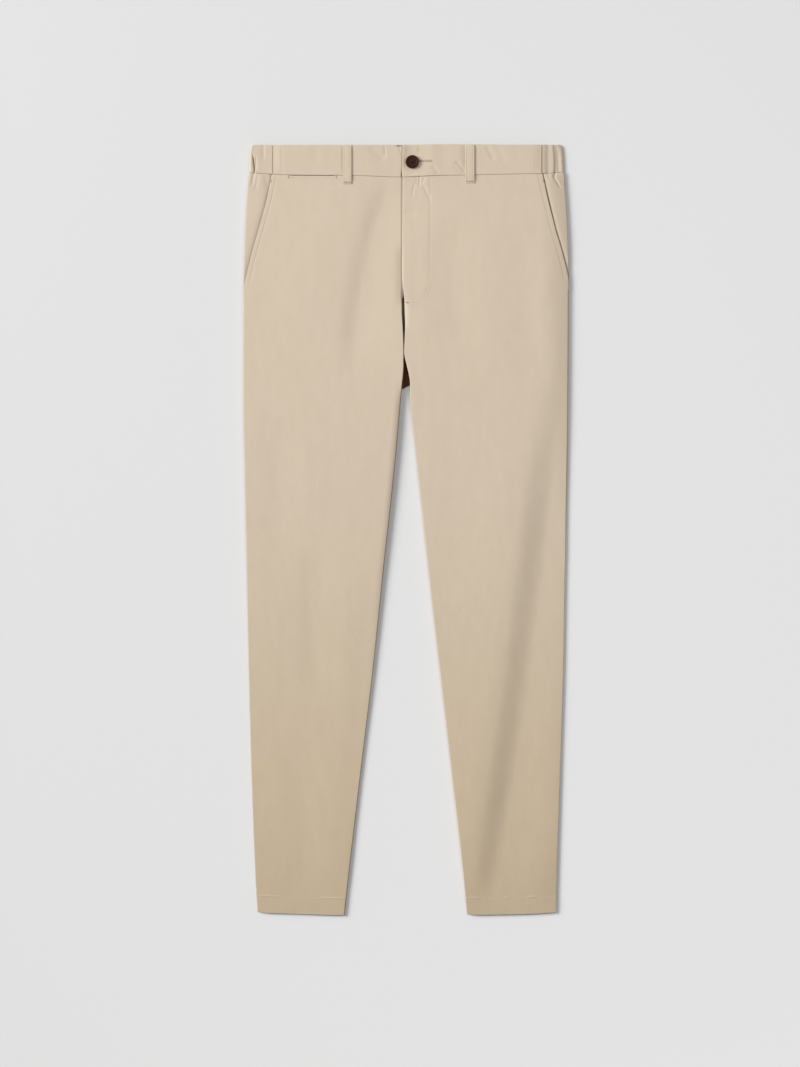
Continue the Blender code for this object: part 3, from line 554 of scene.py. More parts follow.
LOOP_EVEN = 0.002  # half width of a loop's middle columns, and from its ends to its even rows

# Rows of a panel, before its first and last ones follow the waist seam and the hem
PANEL_TOP_Y = 0.4710
PANEL_END_Y = -0.5110
END_REACH = 0.030  # how far in from an end the rows still bend with it
FRONT_ROWS = (
    Rows(0.4682, 0.4380, 0.0012),
    Rows(0.4360, 0.3480, 0.0024),
    Rows(0.3470, 0.2960, 0.0012),
    Rows(0.2945, 0.1800, 0.0020),
    Rows(0.1780, -0.4820, 0.0030),
    Rows(-0.4840, -0.4920, 0.0006),
    Rows(-0.4935, -0.5075, 0.0020),
)
BACK_ROWS_Y = (0.4660, -0.5060)
ABOVE_CROTCH = 0.002  # where the even rows stop above the crotch
BELOW_CROTCH = 0.004  # and where they start again
RISE_SPACING = 0.0040
LEG_SPACING = 0.0045
FACING_ROWS = Rows(0.4670, FACING_END_Y, 0.0018)
BAND_EVEN_SHARES = (0.09, 0.91)  # of the band's depth, between which its rows are even

STEPS_PARTS = 3  # the steps at one end take at most one part in three of a row

# Numbers of even rows and columns
FRONT_COLUMNS = 62
BACK_COLUMNS = 44
FACING_COLUMNS = 26
COIN_FACING_COLUMNS = 60
COIN_FACING_ROWS = 16
BAND_ROWS = 30
BAND_COLUMN_SPACING = 0.0010
OVERLAP_COLUMNS = 178
BACK_BAND_COLUMNS = 160
ELASTIC_COLUMNS = (70, 15, 60)  # on top, round the turn and underneath
LOOP_COLUMNS = 5
LOOP_ROWS = 44


def smooth_line(points):
    """A smooth curve through (at, value) points, which stays between neighbouring points."""
    at, value = np.array(sorted(points)).T
    step = np.diff(at)
    slope = np.diff(value) / step
    before, after = slope[:-1], slope[1:]
    turns = before * after <= 0
    middle = np.where(turns, 0, 2 * before * after / np.where(turns, 1, before + after))
    tangent = np.concatenate([slope[:1], middle, slope[-1:]])

    def curve(where):
        where = np.clip(where, at[0], at[-1])
        i = np.clip(np.searchsorted(at, where) - 1, 0, len(step) - 1)
        t = (where - at[i]) / step[i]
        bend = step[i] * t * (1 - t) * (tangent[i] * (1 - t) - tangent[i + 1] * t)
        return value[i] * (1 + 2 * t) * (1 - t) ** 2 + value[i + 1] * t**2 * (3 - 2 * t) + bend

    return curve


def column(table, name):
    """The smooth line of one column of a table of levels."""
    return smooth_line([(row.y, getattr(row, name)) for row in table])


def make_side(name, outward, *details):
    """One side of the wearer. Outward is the sign of x away from the middle."""
    tables = (SIDE_SEAMS, FRONT_RISE + INSEAMS, POCKET_EDGES, POCKET_SHADES)
    return Side(name, outward, *(column(table, name) for table in tables), *details)


RIGHT = make_side(
    "right", -1, RIGHT_CROTCH_Y, RIGHT_TURN, 0.0, RIGHT_ELASTIC_X, RIGHT_JOINT_SHADE
)
LEFT = make_side(
    "left", 1, LEFT_CROTCH_Y, LEFT_TURN, LEFT_FALL, LEFT_ELASTIC_X, LEFT_JOINT_SHADE
)
waist_seam = smooth_line(WAIST_SEAM)
band_top = smooth_line(BAND_TOP)
hem_edge = smooth_line(HEMS)
overlap_edge = smooth_line(OVERLAP_EDGE)
fall_share = smooth_line(FALL_SHARES)


def ease(t):
    """0 to 1, smooth at both ends, as t goes from 0 to 1."""
    t = np.clip(t, 0, 1)
    return t * t * (3 - 2 * t)


def progress(at, start, end):
    """0 to 1, smooth at both ends, as a place goes from start to end."""
    return ease((at - start) / (end - start))


def within(at, low, high, low_length, high_length):
    """1 between two limits and 0 outside them, smooth over a length in from each."""
    return ease((at - low) / low_length) * ease((high - at) / high_length)


def bell(distance, width):
    """1 on a line, falling off smoothly on both sides of it."""
    return np.exp(-((distance / width) ** 2))


def roll(distance, radius):
    """0 to 1 on a quarter circle, as the distance from an edge goes from 0 to the radius."""
    t = np.clip(distance / radius, 0, 1)
    return np.sqrt(1 - (1 - t) ** 2)


def soft_roll(distance, y, edge):
    """0 to 1 as the distance from a leg's soft edge grows: a steep part and a slow one."""
    share = edge.low_share + (edge.high_share - edge.low_share) * progress(y, *STEEP_Y)
    slow = 1 - (1 - np.clip(distance / edge.radius, 0, 1)) ** 2
    return share * roll(distance, edge.steep_radius) + (1 - share) * slow


def turn(distance, rounding):
    """How far a face has rounded down at this distance from its edge."""
    return rounding.drop * (1 - roll(distance, rounding.length))


def groove(distance):
    """How far a row of stitches pulls the cloth down."""
    return GROOVE_DEPTH * bell(distance, GROOVE_HALF_WIDTH)


def fold_height(x, y, fold):
    """How far one fold lifts the cloth, or lowers it: most along its line, and nothing at its ends."""
    run = np.array([fold.end_x - fold.start_x, fold.end_y - fold.start_y])
    length = math.hypot(*run)
    run = run / length
    along = ((x - fold.start_x) * run[0] + (y - fold.start_y) * run[1]) / length
    to_left = (y - fold.start_y) * run[0] - (x - fold.start_x) * run[1]
    to_left = to_left - 4 * fold.bow * along * (1 - along)
    width = np.where(to_left > 0, fold.width_left, fold.width_right)
    return fold.height * within(along, 0, 1, FOLD_FADE, FOLD_FADE) * bell(to_left, width)


def folds(x, y, table):
    """How far all the folds of a table lift the cloth."""
    return sum(fold_height(x, y, fold) for fold in table)


def uneven(x, y, lumps):
    """Smooth noise of about -1 to 1, whose lumps have these sizes."""
    at = np.broadcast_arrays(x / lumps.size_x, y / lumps.size_y)
    flat = zip(at[0].ravel(), at[1].ravel())
    values = [noise.noise(Vector((a, b, lumps.seed))) for a, b in flat]
    return np.array(values).reshape(at[0].shape)


def drape(x, y):
    """How far the slight unevenness of cloth that lies flat lifts it."""
    return sum(lumps.rise * uneven(x, y, lumps) for lumps in DRAPE)


def lay_height(x, y):
    """Height of the front's outer face above the surface that the trousers lie on."""
    at_sides = roll(x - RIGHT.seam(y), CRISP_ROLL) * soft_roll(LEFT.seam(y) - x, y, SIDE_EDGE)
    inseam = RIGHT.inner(y) - x
    soft = soft_roll(inseam, y, INSEAM_EDGE)
    at_inseams = soft + (roll(inseam, CRISP_ROLL) - soft) * progress(y, *CRISP_INSEAM_Y)
    at_inseams = np.maximum(at_inseams, roll(x - LEFT.inner(y), CRISP_ROLL))
    cleft = progress(y, CLEFT_TOP_Y, CLEFT_FULL_Y) * (1 - bell(y - CLOSED_Y, CLOSED_HALF_LENGTH))
    rolled = at_sides * (1 - cleft * (1 - at_inseams))
    waist = ease(1 - (waist_seam(x) - y) / WAIST_DROP_LENGTH)
    hem_drop = np.where(x < BACK_SEAM_X, RIGHT_HEM_DROP, LEFT_HEM_DROP) * progress(y, *HEM_DROP_Y)
    crown = CROWN - WAIST_DROP * waist - hem_drop + folds(x, y, LEG_FOLDS)
    crown = np.clip(crown, EDGE_HEIGHT, MOST_HEIGHT)
    near_hem = np.clip(1 - (y - hem_edge(x)) / HEM_FALL_LENGTH, 0, 1) ** 2
    crown = crown - (crown - EDGE_HEIGHT) * HEM_FALL_SHARE * near_hem
    return EDGE_HEIGHT + (crown - EDGE_HEIGHT) * rolled


def band_height(x):
    """Height of the outer face of the front waistband."""
    seam = waist_seam(x)
    inside = np.clip(x, RIGHT.seam(seam) + CRISP_ROLL, LEFT.seam(seam) - SIDE_EDGE.radius)
    return lay_height(inside, waist_seam(inside)) + BAND_PROUD


def distances_along(path):
    """How far along a path each of its points is."""
    return np.concatenate([[0], np.cumsum(np.hypot(*np.diff(path, axis=0).T))])


def smooth_path(places):
    """Points along a smooth line through places, as an array of x and y."""
    points = np.array(places)
    at = distances_along(points)
    where = np.linspace(0, at[-1], int(at[-1] / PATH_STEP) + 1)
    lines = [smooth_line(list(zip(at, points[:, i]))) for i in (0, 1)]
    return np.stack([line(where) for line in lines], axis=-1)


def shifted(path, distance):
    """A path moved to its left by a distance."""
    run = np.gradient(path, axis=0)
    run /= np.linalg.norm(run, axis=1, keepdims=True)
    return path + distance * np.stack([-run[:, 1], run[:, 0]], axis=-1)


def distance_to(path, x, y):
    """Distance from each point to the nearest point of a path."""
    nearest = np.full(np.broadcast_shapes(np.shape(x), np.shape(y)), np.inf)
    for px, py in path:
        nearest = np.minimum(nearest, np.hypot(x - px, y - py))
    return nearest


# Grids of points


def spread(start, end, start_steps, end_steps, middle):
    """Rows of positions from start to end: the steps in from each end, and the rest even."""
    width = (end - start)[:, None]
    room = np.minimum(1, width / (STEPS_PARTS * np.maximum(start_steps[..., -1:], end_steps[..., -1:])))
    low = start[:, None] + start_steps * room
    high = end[:, None] - end_steps[..., ::-1] * room
    share = np.linspace(0, 1, middle + 2)[1:-1]
    between = low[:, -1:] + (high[:, :1] - low[:, -1:]) * share
    return np.concatenate([low, between, high], axis=1)


def grid(x, y, z):
    """One grid of points from their x, y and z."""
    return np.stack(np.broadcast_arrays(x, y, z), axis=-1)


def sheet_mesh(name, outer, inner, shade):
    """One closed thin sheet between an outer and an inner grid of points.

    Shade is 0 to 1 at each outer point: how much painted shade darkens the cloth there, in the dark of an
    opening or a crease.
    """
    rows, columns = outer.shape[:2]
    near = np.arange(rows * columns).reshape(rows, columns)
    far = near + rows * columns
    faces = []
    for sheet in (near, far):
        corners = (sheet[:-1, :-1], sheet[1:, :-1], sheet[1:, 1:], sheet[:-1, 1:])
        faces += np.stack(corners, axis=-1).reshape(-1, 4).tolist()
    rims = [(near[0], far[0]), (near[-1], far[-1]), (near[:, 0], far[:, 0]), (near[:, -1], far[:, -1])]
    for edge, opposite in rims:
        corners = (edge[:-1], edge[1:], opposite[1:], opposite[:-1])
        faces += np.stack(corners, axis=-1).tolist()
    mesh = bpy.data.meshes.new(name)
    mesh.from_pydata(np.concatenate([outer.reshape(-1, 3), inner.reshape(-1, 3)]).tolist(), [], faces)
    shape = bmesh.new()
    shape.from_mesh(mesh)
    bmesh.ops.recalc_face_normals(shape, faces=shape.faces)
    shape.to_mesh(mesh)
    shape.free()
    if shade is not None:
        values = np.zeros((2, near.size))
        values[0] = np.broadcast_to(shade, near.shape).ravel()
        mesh.attributes.new("shade", "FLOAT", "POINT").data.foreach_set("value", values.ravel())
    return mesh


def add_object(name, data):
    """Puts a mesh, a light or a camera into the scene."""
    made = bpy.data.objects.new(name, data)
    bpy.context.scene.collection.objects.link(made)
    return made


def add_piece(name, mesh, finish):
    """Puts a mesh into the scene as a piece that rides on the root body."""
    piece = add_object(name, mesh)
    mesh.materials.append(finish)
    mesh.shade_smooth()
    mesh.set_sharp_from_angle(angle=SHARP_ANGLE)
    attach(piece, "root")
    return piece


def add_sheet(node, outer, inner, finish, shade=None):
    """A piece of cloth that stands for a solid node."""
    name = f"{node}_cloth"
    piece = add_piece(name, sheet_mesh(name, outer, inner, shade), finish)
    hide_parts(node)
    return piece


def lay_sheet(node, x, y, height, foot, finish, shade=None):
    """A laid piece of cloth between the heights of its outer and its inner face."""
    return add_sheet(node, grid(x, y, height), grid(x, y, foot), finish, shade=shade)


# Fronts


def back_shows(y):
    """How far the left front's edge lies inside the back's at the side seam."""
    return BACK_SHOWS * within(y, *BACK_SHOWS_Y, *BACK_SHOWS_ENDS)


def coin_slot(x):
    """How far the right front's top edge is left down, so that the coin pocket is open."""
    return COIN_SLOT_OPEN * within(x, *COIN_SLOT_X, COIN_SLOT_END, COIN_SLOT_END)


def above_cleft(y):
    """1 above the gap between the two fronts, and 0 beside it."""
    return ease(1 + (y - CLEFT_TOP_Y) / FLY_END_LENGTH)


def fly_underlap(y):
    """How far the right front runs on past its own inner edge, under the left front."""
    return FLY_UNDERLAP * ease((y - CLEFT_TOP_Y) / FLY_END_LENGTH)


def near_fly(side, x, y):
    """1 at the fly's edge and 0 away from it: where the left front lifts and the right one dips."""
    from_inner = side.outward * (x - side.inner(y))
    if side is LEFT:
        return above_cleft(y) * (1 - ease(from_inner / FLY_LIFT_LENGTH))
    return above_cleft(y) * ease(FLY_DIP_LEAD - from_inner / FLY_DIP_LENGTH)


def outer_edge(side, y):
    """x of a front's outer edge: the pocket's edge, and then the side seam."""
    seam = side.seam(y) if side is RIGHT else side.seam(y) - back_shows(y)
    return np.where(y > POCKET_END_Y, side.pocket(y), seam)


def panel_top(x):
    """y of the top edge of a back panel or a facing, at the waist seam."""
    return waist_seam(x) - SEAM_GAP


def top_edge(side, x):
    """y of a front's top edge, at the waist seam."""
    return panel_top(x) - coin_slot(x) * (side is RIGHT)


fly_path = smooth_path(FLY_STITCHES)


def hem_streaks(x):
    """How much the hem's seam puckers up: 1 in the streaks, and 0 between them."""
    return sum(within(x, *streak, HEM_STREAK_END, HEM_STREAK_END) for streak in HEM_STREAKS)


def front_surface(side, x, y):
    """Height of a front's outer face, with its pressed edges, creases and rows of stitches."""
    from_outer = side.outward * (outer_edge(side, y) - x)
    from_inner = side.outward * (x - side.inner(y))
    from_hem = y - hem_edge(x)
    at_fly = above_cleft(y)
    at_pocket = ease((y - POCKET_END_Y) / POCKET_ROUND_END)
    height = lay_height(x, y) + folds(x, y, WAIST_CREASES) + drape(x, y)
    height += HEM_STEP * ease((HEM_DEPTH - from_hem) / HEM_STEP_LENGTH)
    height += HEM_STREAK_RISE * hem_streaks(x) * bell(from_hem - HEM_DEPTH, HEM_STREAK_HALF_DEPTH)
    height += near_fly(side, x, y) * (FLY_LIFT if side is LEFT else -FLY_DIP)
    height -= groove(from_outer - POCKET_STITCH_INSET) * ease((y - POCKET_END_Y) / POCKET_GROOVE_END)
    if side is LEFT:
        height -= groove(distance_to(fly_path, x, y)) + turn(from_inner, EDGE_ROUND) * at_fly
    height -= turn(from_inner, SIDE_ROUND) * (1 - at_fly)
    height -= turn(from_outer, POCKET_ROUND) * at_pocket + turn(from_outer, SIDE_ROUND) * (1 - at_pocket)
    height -= turn(top_edge(side, x) - y, SEAM_ROUND) + turn(from_hem, HEM_ROUND)
    return np.maximum(height, EDGE_HEIGHT - EDGE_ROUND.drop)


def front_inner(side, x, y):
    """Height of a front's inner face."""
    height = lay_height(x, y) + folds(x, y, WAIST_CREASES)
    height += near_fly(side, x, y) * (FLY_LIFT + CLOTH - FLY_EDGE_CLOTH if side is LEFT else -FLY_DIP)
    return np.maximum(height, EDGE_HEIGHT) - CLOTH - FRONT_SPARE


def even_levels(*parts):
    """y levels from the waist seam down, in parts that each have their own spacing."""
    return np.concatenate([np.arange(part.start, part.end, -part.spacing) for part in parts])


FRONT_LEVELS = np.concatenate(
    [
        PANEL_TOP_Y - np.array(EDGE_STEPS[:-1]),
        even_levels(*FRONT_ROWS),
        PANEL_END_Y + np.array(HEM_STEPS[::-1]),
    ]
)


def panel_plan(levels, start, end, top, bottom, start_steps, end_steps, middle):
    """Plan of a panel, as x and y grids: rows from its top end down to its bottom end."""
    level = levels[:, None]
    x = spread(start, end, np.asarray(start_steps), np.asarray(end_steps), middle)
    near_top = ease(1 - (level[0] - level) / END_REACH)
    near_bottom = ease(1 - (level - level[-1]) / END_REACH)
    y = level + near_top * (top(x) - level[0]) + near_bottom * (bottom(x) - level[-1])
    return x, y


def in_order(side, outer, inner):
    """What belongs to a panel's outer and inner edge, as lowest x and highest x."""
    return (outer, inner) if side is RIGHT else (inner, outer)


def fly_foot_shade(x, y):
    """How much painted shade darkens the right front where it goes in under the foot of the fly."""
    near_foot = progress(y, *FLY_FOOT_SHADE_Y)
    return FLY_FOOT_SHADE * near_foot * ease(1 + (x - RIGHT.inner(y)) / FLY_FOOT_SHADE_WIDTH)


def make_front(side, finish):
    """One front panel, from the fly and the inseam to the pocket's edge and the side seam."""
    inner, inner_steps = side.inner(FRONT_LEVELS), FLY_STEPS
    if side is RIGHT:
        run_on = fly_underlap(FRONT_LEVELS)
        inner = inner + run_on
        under_fly = np.array(UNDERLAP_STEPS) * (run_on[:, None] / FLY_UNDERLAP)
        inner_steps = np.concatenate([under_fly, run_on[:, None] + np.array(EDGE_STEPS[1:])], axis=1)
    start, end = in_order(side, outer_edge(side, FRONT_LEVELS), inner)
    steps = in_order(side, POCKET_STEPS, inner_steps)
    top = partial(top_edge, side)
    x, y = panel_plan(FRONT_LEVELS, start, end, top, hem_edge, *steps, FRONT_COLUMNS)
    height, foot = front_surface(side, x, y), front_inner(side, x, y)
    shade = fly_foot_shade(x, y) if side is RIGHT else None
    lay_sheet(f"front_{side.name}_leg", x, y, height, foot, finish, shade)


# Backs


def cleft_shade(x, y):
    """How much painted shade darkens the inside of the back where it shows between the legs."""
    ends = within(y, *CLEFT_SHADE_Y, CLEFT_SHADE_END, CLEFT_SHADE_END)
    ends = ends * (1 - CLEFT_PALE_SHARE * progress(y, *CLEFT_PALE_Y))
    return ends * ease(2 - abs(x - BACK_SEAM_X) / CLEFT_SHADE_HALF_WIDTH)


def make_back(side, finish):
    """One back panel, from the centre back seam to the side seam."""

    def inner_edge(y):
        centre = BACK_SEAM_X + side.outward * SEAM_GAP / 2
        return np.where(y > side.crotch_y - CROTCH_STEP / 2, centre, side.inner(y))

    levels = np.concatenate(
        [
            PANEL_TOP_Y - np.array(EDGE_STEPS),
            even_levels(Rows(BACK_ROWS_Y[0], side.crotch_y + ABOVE_CROTCH, RISE_SPACING)),
            (side.crotch_y, side.crotch_y - CROTCH_STEP),
            even_levels(Rows(side.crotch_y - BELOW_CROTCH, BACK_ROWS_Y[1], LEG_SPACING)),
            PANEL_END_Y + np.array(EDGE_STEPS[::-1]),
        ]
    )
    start, end = in_order(side, side.seam(levels), inner_edge(levels))
    x, y = panel_plan(levels, start, end, panel_top, hem_edge, EDGE_STEPS, EDGE_STEPS, BACK_COLUMNS)
    if side is LEFT:
        row = list(levels).index(side.crotch_y)
        slant = (x[row] - x[row, 0]) / (x[row + 1, 0] - x[row, 0])
        y[row] = np.minimum(y[row], CROTCH_POINT_Y + (side.crotch_y - CROTCH_POINT_Y) * slant)
    lift = folds(x, y, BACK_FOLDS)
    from_side = np.minimum(side.outward * (side.seam(y) - x), side.outward * (x - inner_edge(y)))
    from_end = np.minimum(panel_top(x) - y, y - hem_edge(x))
    foot = lift + turn(np.minimum(from_side, from_end), FOOT_ROUND)
    shade = cleft_shade(x, y)
    lay_sheet(f"back_{side.name}_leg", x, y, CLOTH + lift, foot, finish, shade)


# Waistband


def into_band(x, y):
    """Distance from the nearer of the waistband's two long edges."""
    return np.minimum(y - waist_seam(x), band_top(x) - y)


def band_surface(x, y):
    """Height of the outer face of the front waistband, before its overlap."""
    height = band_height(x) + folds(x, y, WAIST_CREASES) + drape(x, y)
    return height - turn(into_band(x, y), BAND_ROUND)


def overlap_lift(x):
    """How far the overlap lies over the rest of the band."""
    return OVERLAP_LIFT * (1 - ease((x - UNDERLAP_END_X) / OVERLAP_LIFT_LENGTH))


def overlap_surface(x, y):
    """Height of the outer face of the left front waistband."""
    return band_surface(x, y) + overlap_lift(x) - turn(x - overlap_edge(y), EDGE_ROUND)


def underlap_surface(x, y):
    """Height of the outer face of the right front waistband, which dips under the overlap."""
    return band_surface(x, y) - BAND_DIP * ease((x - overlap_edge(y)) / BAND_DIP_LENGTH + BAND_DIP_LEAD)


def spot_shade(x, y, spots):
    """How much painted shade darkens the band in its spots."""
    return sum(spot.amount * bell(x - spot.x, spot.half_x) * bell(y - spot.y, spot.half_y) for spot in spots)


def band_shares(depth):
    """Shares of the waistband's depth at which its rows are, closer together near its edges."""
    near = np.array(BAND_STEPS) / depth
    return np.concatenate([near, np.linspace(*BAND_EVEN_SHARES, BAND_ROWS), 1 - near[::-1]])


def band_plan(x):
    """x and y grids of a waistband piece, from its bottom edge up."""
    depth = band_top(x) - waist_seam(x)
    y = waist_seam(x) + depth * band_shares(float(np.mean(depth)))[:, None]
    return np.broadcast_to(x, y.shape).copy(), y


def make_bands(finish):
    """The two front waistband pieces and the back one."""
    x, y = band_plan(np.arange(-RIGHT_ELASTIC_X + SEAM_GAP, UNDERLAP_END_X, BAND_COLUMN_SPACING))
    height = underlap_surface(x, y)
    foot = underlap_surface(x, waist_seam(x) + BAND_MIDDLE) - BAND_CLOTH
    shade = spot_shade(x, y, OVERLAP_SHADES)
    lay_sheet("waistband_right_front", x, y, height, foot, finish, shade)

    run = np.linspace(-FLY_X + OVERLAP_EVEN, LEFT_ELASTIC_X - SEAM_GAP, OVERLAP_COLUMNS)
    x, y = band_plan(np.concatenate([-FLY_X + np.array(EDGE_STEPS), run]))
    x += (overlap_edge(y) + FLY_X) * (1 - ease((x + FLY_X) / OVERLAP_LEAN_LENGTH))
    height = overlap_surface(x, y)
    foot = band_height(x) + overlap_lift(x) - BAND_CLOTH
    shade = spot_shade(x, y, BUTTON_SHADES)
    band = lay_sheet("waistband_left_front", x, y, height, foot, finish, shade)
    cut_buttonhole(band)

    end = ELASTIC_BACK_X - SEAM_GAP
    x, y = band_plan(np.linspace(-end, end, BACK_BAND_COLUMNS))
    foot = turn(into_band(x, y), FOOT_ROUND)
    lay_sheet("waistband_back", x, y, BAND_CLOTH, foot, finish)


def cut_buttonhole(band):
    """Cuts the slit and its round eyelet through the overlap."""
    start, end = BUTTONHOLE_X
    shape = bmesh.new()
    bmesh.ops.create_cube(shape, size=1.0)
    bmesh.ops.scale(shape, verts=shape.verts, vec=(end - start, BUTTONHOLE_WIDTH, CUTTER_DEPTH))
    bmesh.ops.translate(shape, verts=shape.verts, vec=((start + end) / 2, BUTTONHOLE_Y, 0))
    sizes = {"radius1": EYELET_RADIUS, "radius2": EYELET_RADIUS, "depth": CUTTER_DEPTH}
    eyelet = bmesh.ops.create_cone(shape, cap_ends=True, segments=EYELET_SIDES, **sizes)
    bmesh.ops.translate(shape, verts=eyelet["verts"], vec=(EYELET_X, BUTTONHOLE_Y, 0))
    mesh = bpy.data.meshes.new("buttonhole_cutter")
    shape.to_mesh(mesh)
    shape.free()
    cutter = add_object("buttonhole_cutter", mesh)
    boolean = band.modifiers.new("buttonhole", "BOOLEAN")
    boolean.object = cutter
    boolean.operation = "DIFFERENCE"
    boolean.use_self = True
    depsgraph = bpy.context.evaluated_depsgraph_get()
    shaped = bpy.data.meshes.new_from_object(band.evaluated_get(depsgraph))
    band.modifiers.clear()
    band.data = shaped
    bpy.data.objects.remove(cutter, do_unlink=True)


def make_elastic(side, finish):
    """The gathered piece from the front band, round the side, to the back band underneath."""
    start_x = side.elastic_x + SEAM_GAP / 2
    start = side.outward * start_x
    depth = float(band_top(start) - waist_seam(start))
    sections = np.array([elastic_section(side, start_x, share, depth) for share in band_shares(depth)])
    outer, inner = sections[:, 0], sections[:, 1]
    # painted shade in the deep crease and at the joint with the front band
    dark = fold_height(outer[..., 0], outer[..., 1], SLIT) / SLIT.height
    joint = side.joint_shade * bell(np.abs(outer[..., 0]) - start_x, JOINT_SHADE_WIDTH)
    shade = np.maximum(SLIT_SHADE * dark**SLIT_SHARPNESS, joint) * (outer[..., 2] > CLOTH + LAY_GAP)
    node = f"waistband_{side.name}_elastic"
    add_sheet(node, outer, inner, finish, shade)


def elastic_section(side, start_x, share, depth):
    """The piece's outer and inner points at one share of its depth, from the front band round."""
    start = side.outward * start_x
    turn_x = abs(side.seam(waist_seam(start) + depth * share)) - side.turn
    height = band_height(start)
    on_top, round_turn, underneath = ELASTIC_COLUMNS
    upper = np.linspace(start_x, turn_x, on_top)
    angles = np.linspace(math.pi / 2, -math.pi / 2, round_turn)[1:]
    under = np.linspace(turn_x, ELASTIC_BACK_X + SEAM_GAP / 2, underneath)[1:]
    fall = side.fall * fall_share(upper)
    from_edge = min(share, 1 - share) * depth

    def path(inset, drop):
        low, high = inset, height - inset - side.fall
        middle, reach = (low + high) / 2, (high - low) / 2
        x = side.outward * np.concatenate([upper, turn_x + (side.turn - inset) * np.cos(angles), under])
        y = waist_seam(x) + (band_top(x) - waist_seam(x)) * share
        round_side = middle + reach * np.sin(angles)
        z = np.concatenate([height - inset - fall, round_side, np.full(len(under), low)])
        place = np.arange(len(x))
        settled = np.clip((turn_x - np.abs(x)) / TURN_SETTLE_LENGTH, 0, 1)
        z = z + folds(x, y, WAIST_CREASES) * (place < len(upper)) * settled
        waver = GATHER_WAVER * np.sin(y * GATHER_WAVER_RATE)
        hollow = GATHER_DEPTH * np.maximum(0, np.sin(np.abs(x) * 2 * math.pi / GATHER_PITCH + waver))
        z = z + hollow * (place >= len(x) - len(under))
        return grid(x, y, z - drop * np.sign(z - middle))

    return path(0.0, turn(from_edge, BAND_ROUND)), path(BAND_CLOTH, 0.0)


# Pocket facings


def make_facing(side, finish):
    """The pocket facing: it shows outside the pocket's edge, and runs on under the front."""
    levels = np.concatenate([PANEL_TOP_Y - np.array(EDGE_STEPS), even_levels(FACING_ROWS)])
    inner = side.pocket(levels) - side.outward * FACING_UNDERLAP
    start, end = in_order(side, side.seam(levels), inner)

    def bottom(x):
        return np.full_like(x, levels[-1])

    x, y = panel_plan(levels, start, end, panel_top, bottom, EDGE_STEPS, EDGE_STEPS, FACING_COLUMNS)
    outside = side.outward * (x - side.pocket(y))
    lay = lay_height(x, y) - CLOTH - LAY_GAP + folds(x, y, WAIST_CREASES) + drape(x, y)
    lay += FACING_LIFT * (1 - np.exp(-np.maximum(outside, 0) / FACING_LIFT_LENGTH))
    lay = np.maximum(lay, CLOTH + SEAM_GAP + FACING_CLOTH)
    under_front = front_inner(side, x, y) - THINNEST
    lay = np.where(outside < FACING_CLEARANCE, np.minimum(lay, under_front), lay)
    edges = turn(side.outward * (side.seam(y) - x), SIDE_ROUND) + turn(panel_top(x) - y, SEAM_ROUND)
    foot = np.maximum(lay - FACING_CLOTH, CLOTH + THINNEST)
    height = np.maximum(lay - edges, foot + THINNEST)
    # painted shade inside the pocket's opening, along its edge
    shade = ease(1 - outside / POCKET_SHADE_WIDTH) * side.dark(y)
    lay_sheet(f"pocket_facing_{side.name}", x, y, height, foot, finish, shade)


def make_coin_facing(finish):
    """The facing behind the coin pocket's slot, under both the band and the right front."""
    x = np.linspace(*COIN_FACING_X, COIN_FACING_COLUMNS)
    y = np.linspace(*COIN_FACING_Y, COIN_FACING_ROWS)[:, None]
    height = lay_height(x, y) - BAND_CLOTH - LAY_GAP
    foot = height - FACING_CLOTH
    lay_sheet("coin_pocket_facing", x, y, height, foot, finish)


# Belt loops


def loop_plan(loop):
    """The middle of a belt loop in x, its lowest y and its highest y."""
    middle = (loop.low_x + loop.high_x) / 2
    return middle, loop.low_y, band_top(middle) - LOOP_TOP_INSET


def loop_foot(loop, y):
    """Height of a belt loop's inner face."""
    middle, low_y, top_y = loop_plan(loop)
    from_end = np.minimum(y - low_y, top_y - y)
    foot = band_height(middle) + SEAM_GAP + LOOP_RISE * ease(from_end / LOOP_END_LENGTH)
    return foot - LOOP_FOOT_DROP * (1 - ease((y - low_y) / LOOP_FOOT_LENGTH))


def loop_surface(loop, x, y):
    """Height of a belt loop's outer face."""
    _, low_y, top_y = loop_plan(loop)
    from_end = np.minimum(y - low_y, top_y - y)
    from_side = np.minimum(x - loop.low_x, loop.high_x - x)
    height = loop_foot(loop, y) + LOOP_CLOTH - turn(from_side, LOOP_ROUND) - turn(from_end, LOOP_ROUND)
    return height - LOOP_GROOVE_SHARE * groove(from_side - LOOP_STITCH_INSET)


def make_belt_loop(loop, finish):
    """One belt loop, which lies on the band between its two tacks."""
    middle, low_y, top_y = loop_plan(loop)
    steps, end_steps = np.array(LOOP_STEPS), np.array(LOOP_END_STEPS)
    columns = np.linspace(middle - LOOP_EVEN, middle + LOOP_EVEN, LOOP_COLUMNS)
    rows = np.linspace(low_y + LOOP_EVEN, top_y - LOOP_EVEN, LOOP_ROWS)
    x = np.concatenate([loop.low_x + steps, columns, loop.high_x - steps[::-1]])
    y = np.concatenate([low_y + end_steps, rows, top_y - end_steps[::-1]])[:, None]
    height, foot = loop_surface(loop, x, y), loop_foot(loop, y)
    lay_sheet(f"belt_loop_{loop.side}", x, y, height, foot, finish)


# Thread


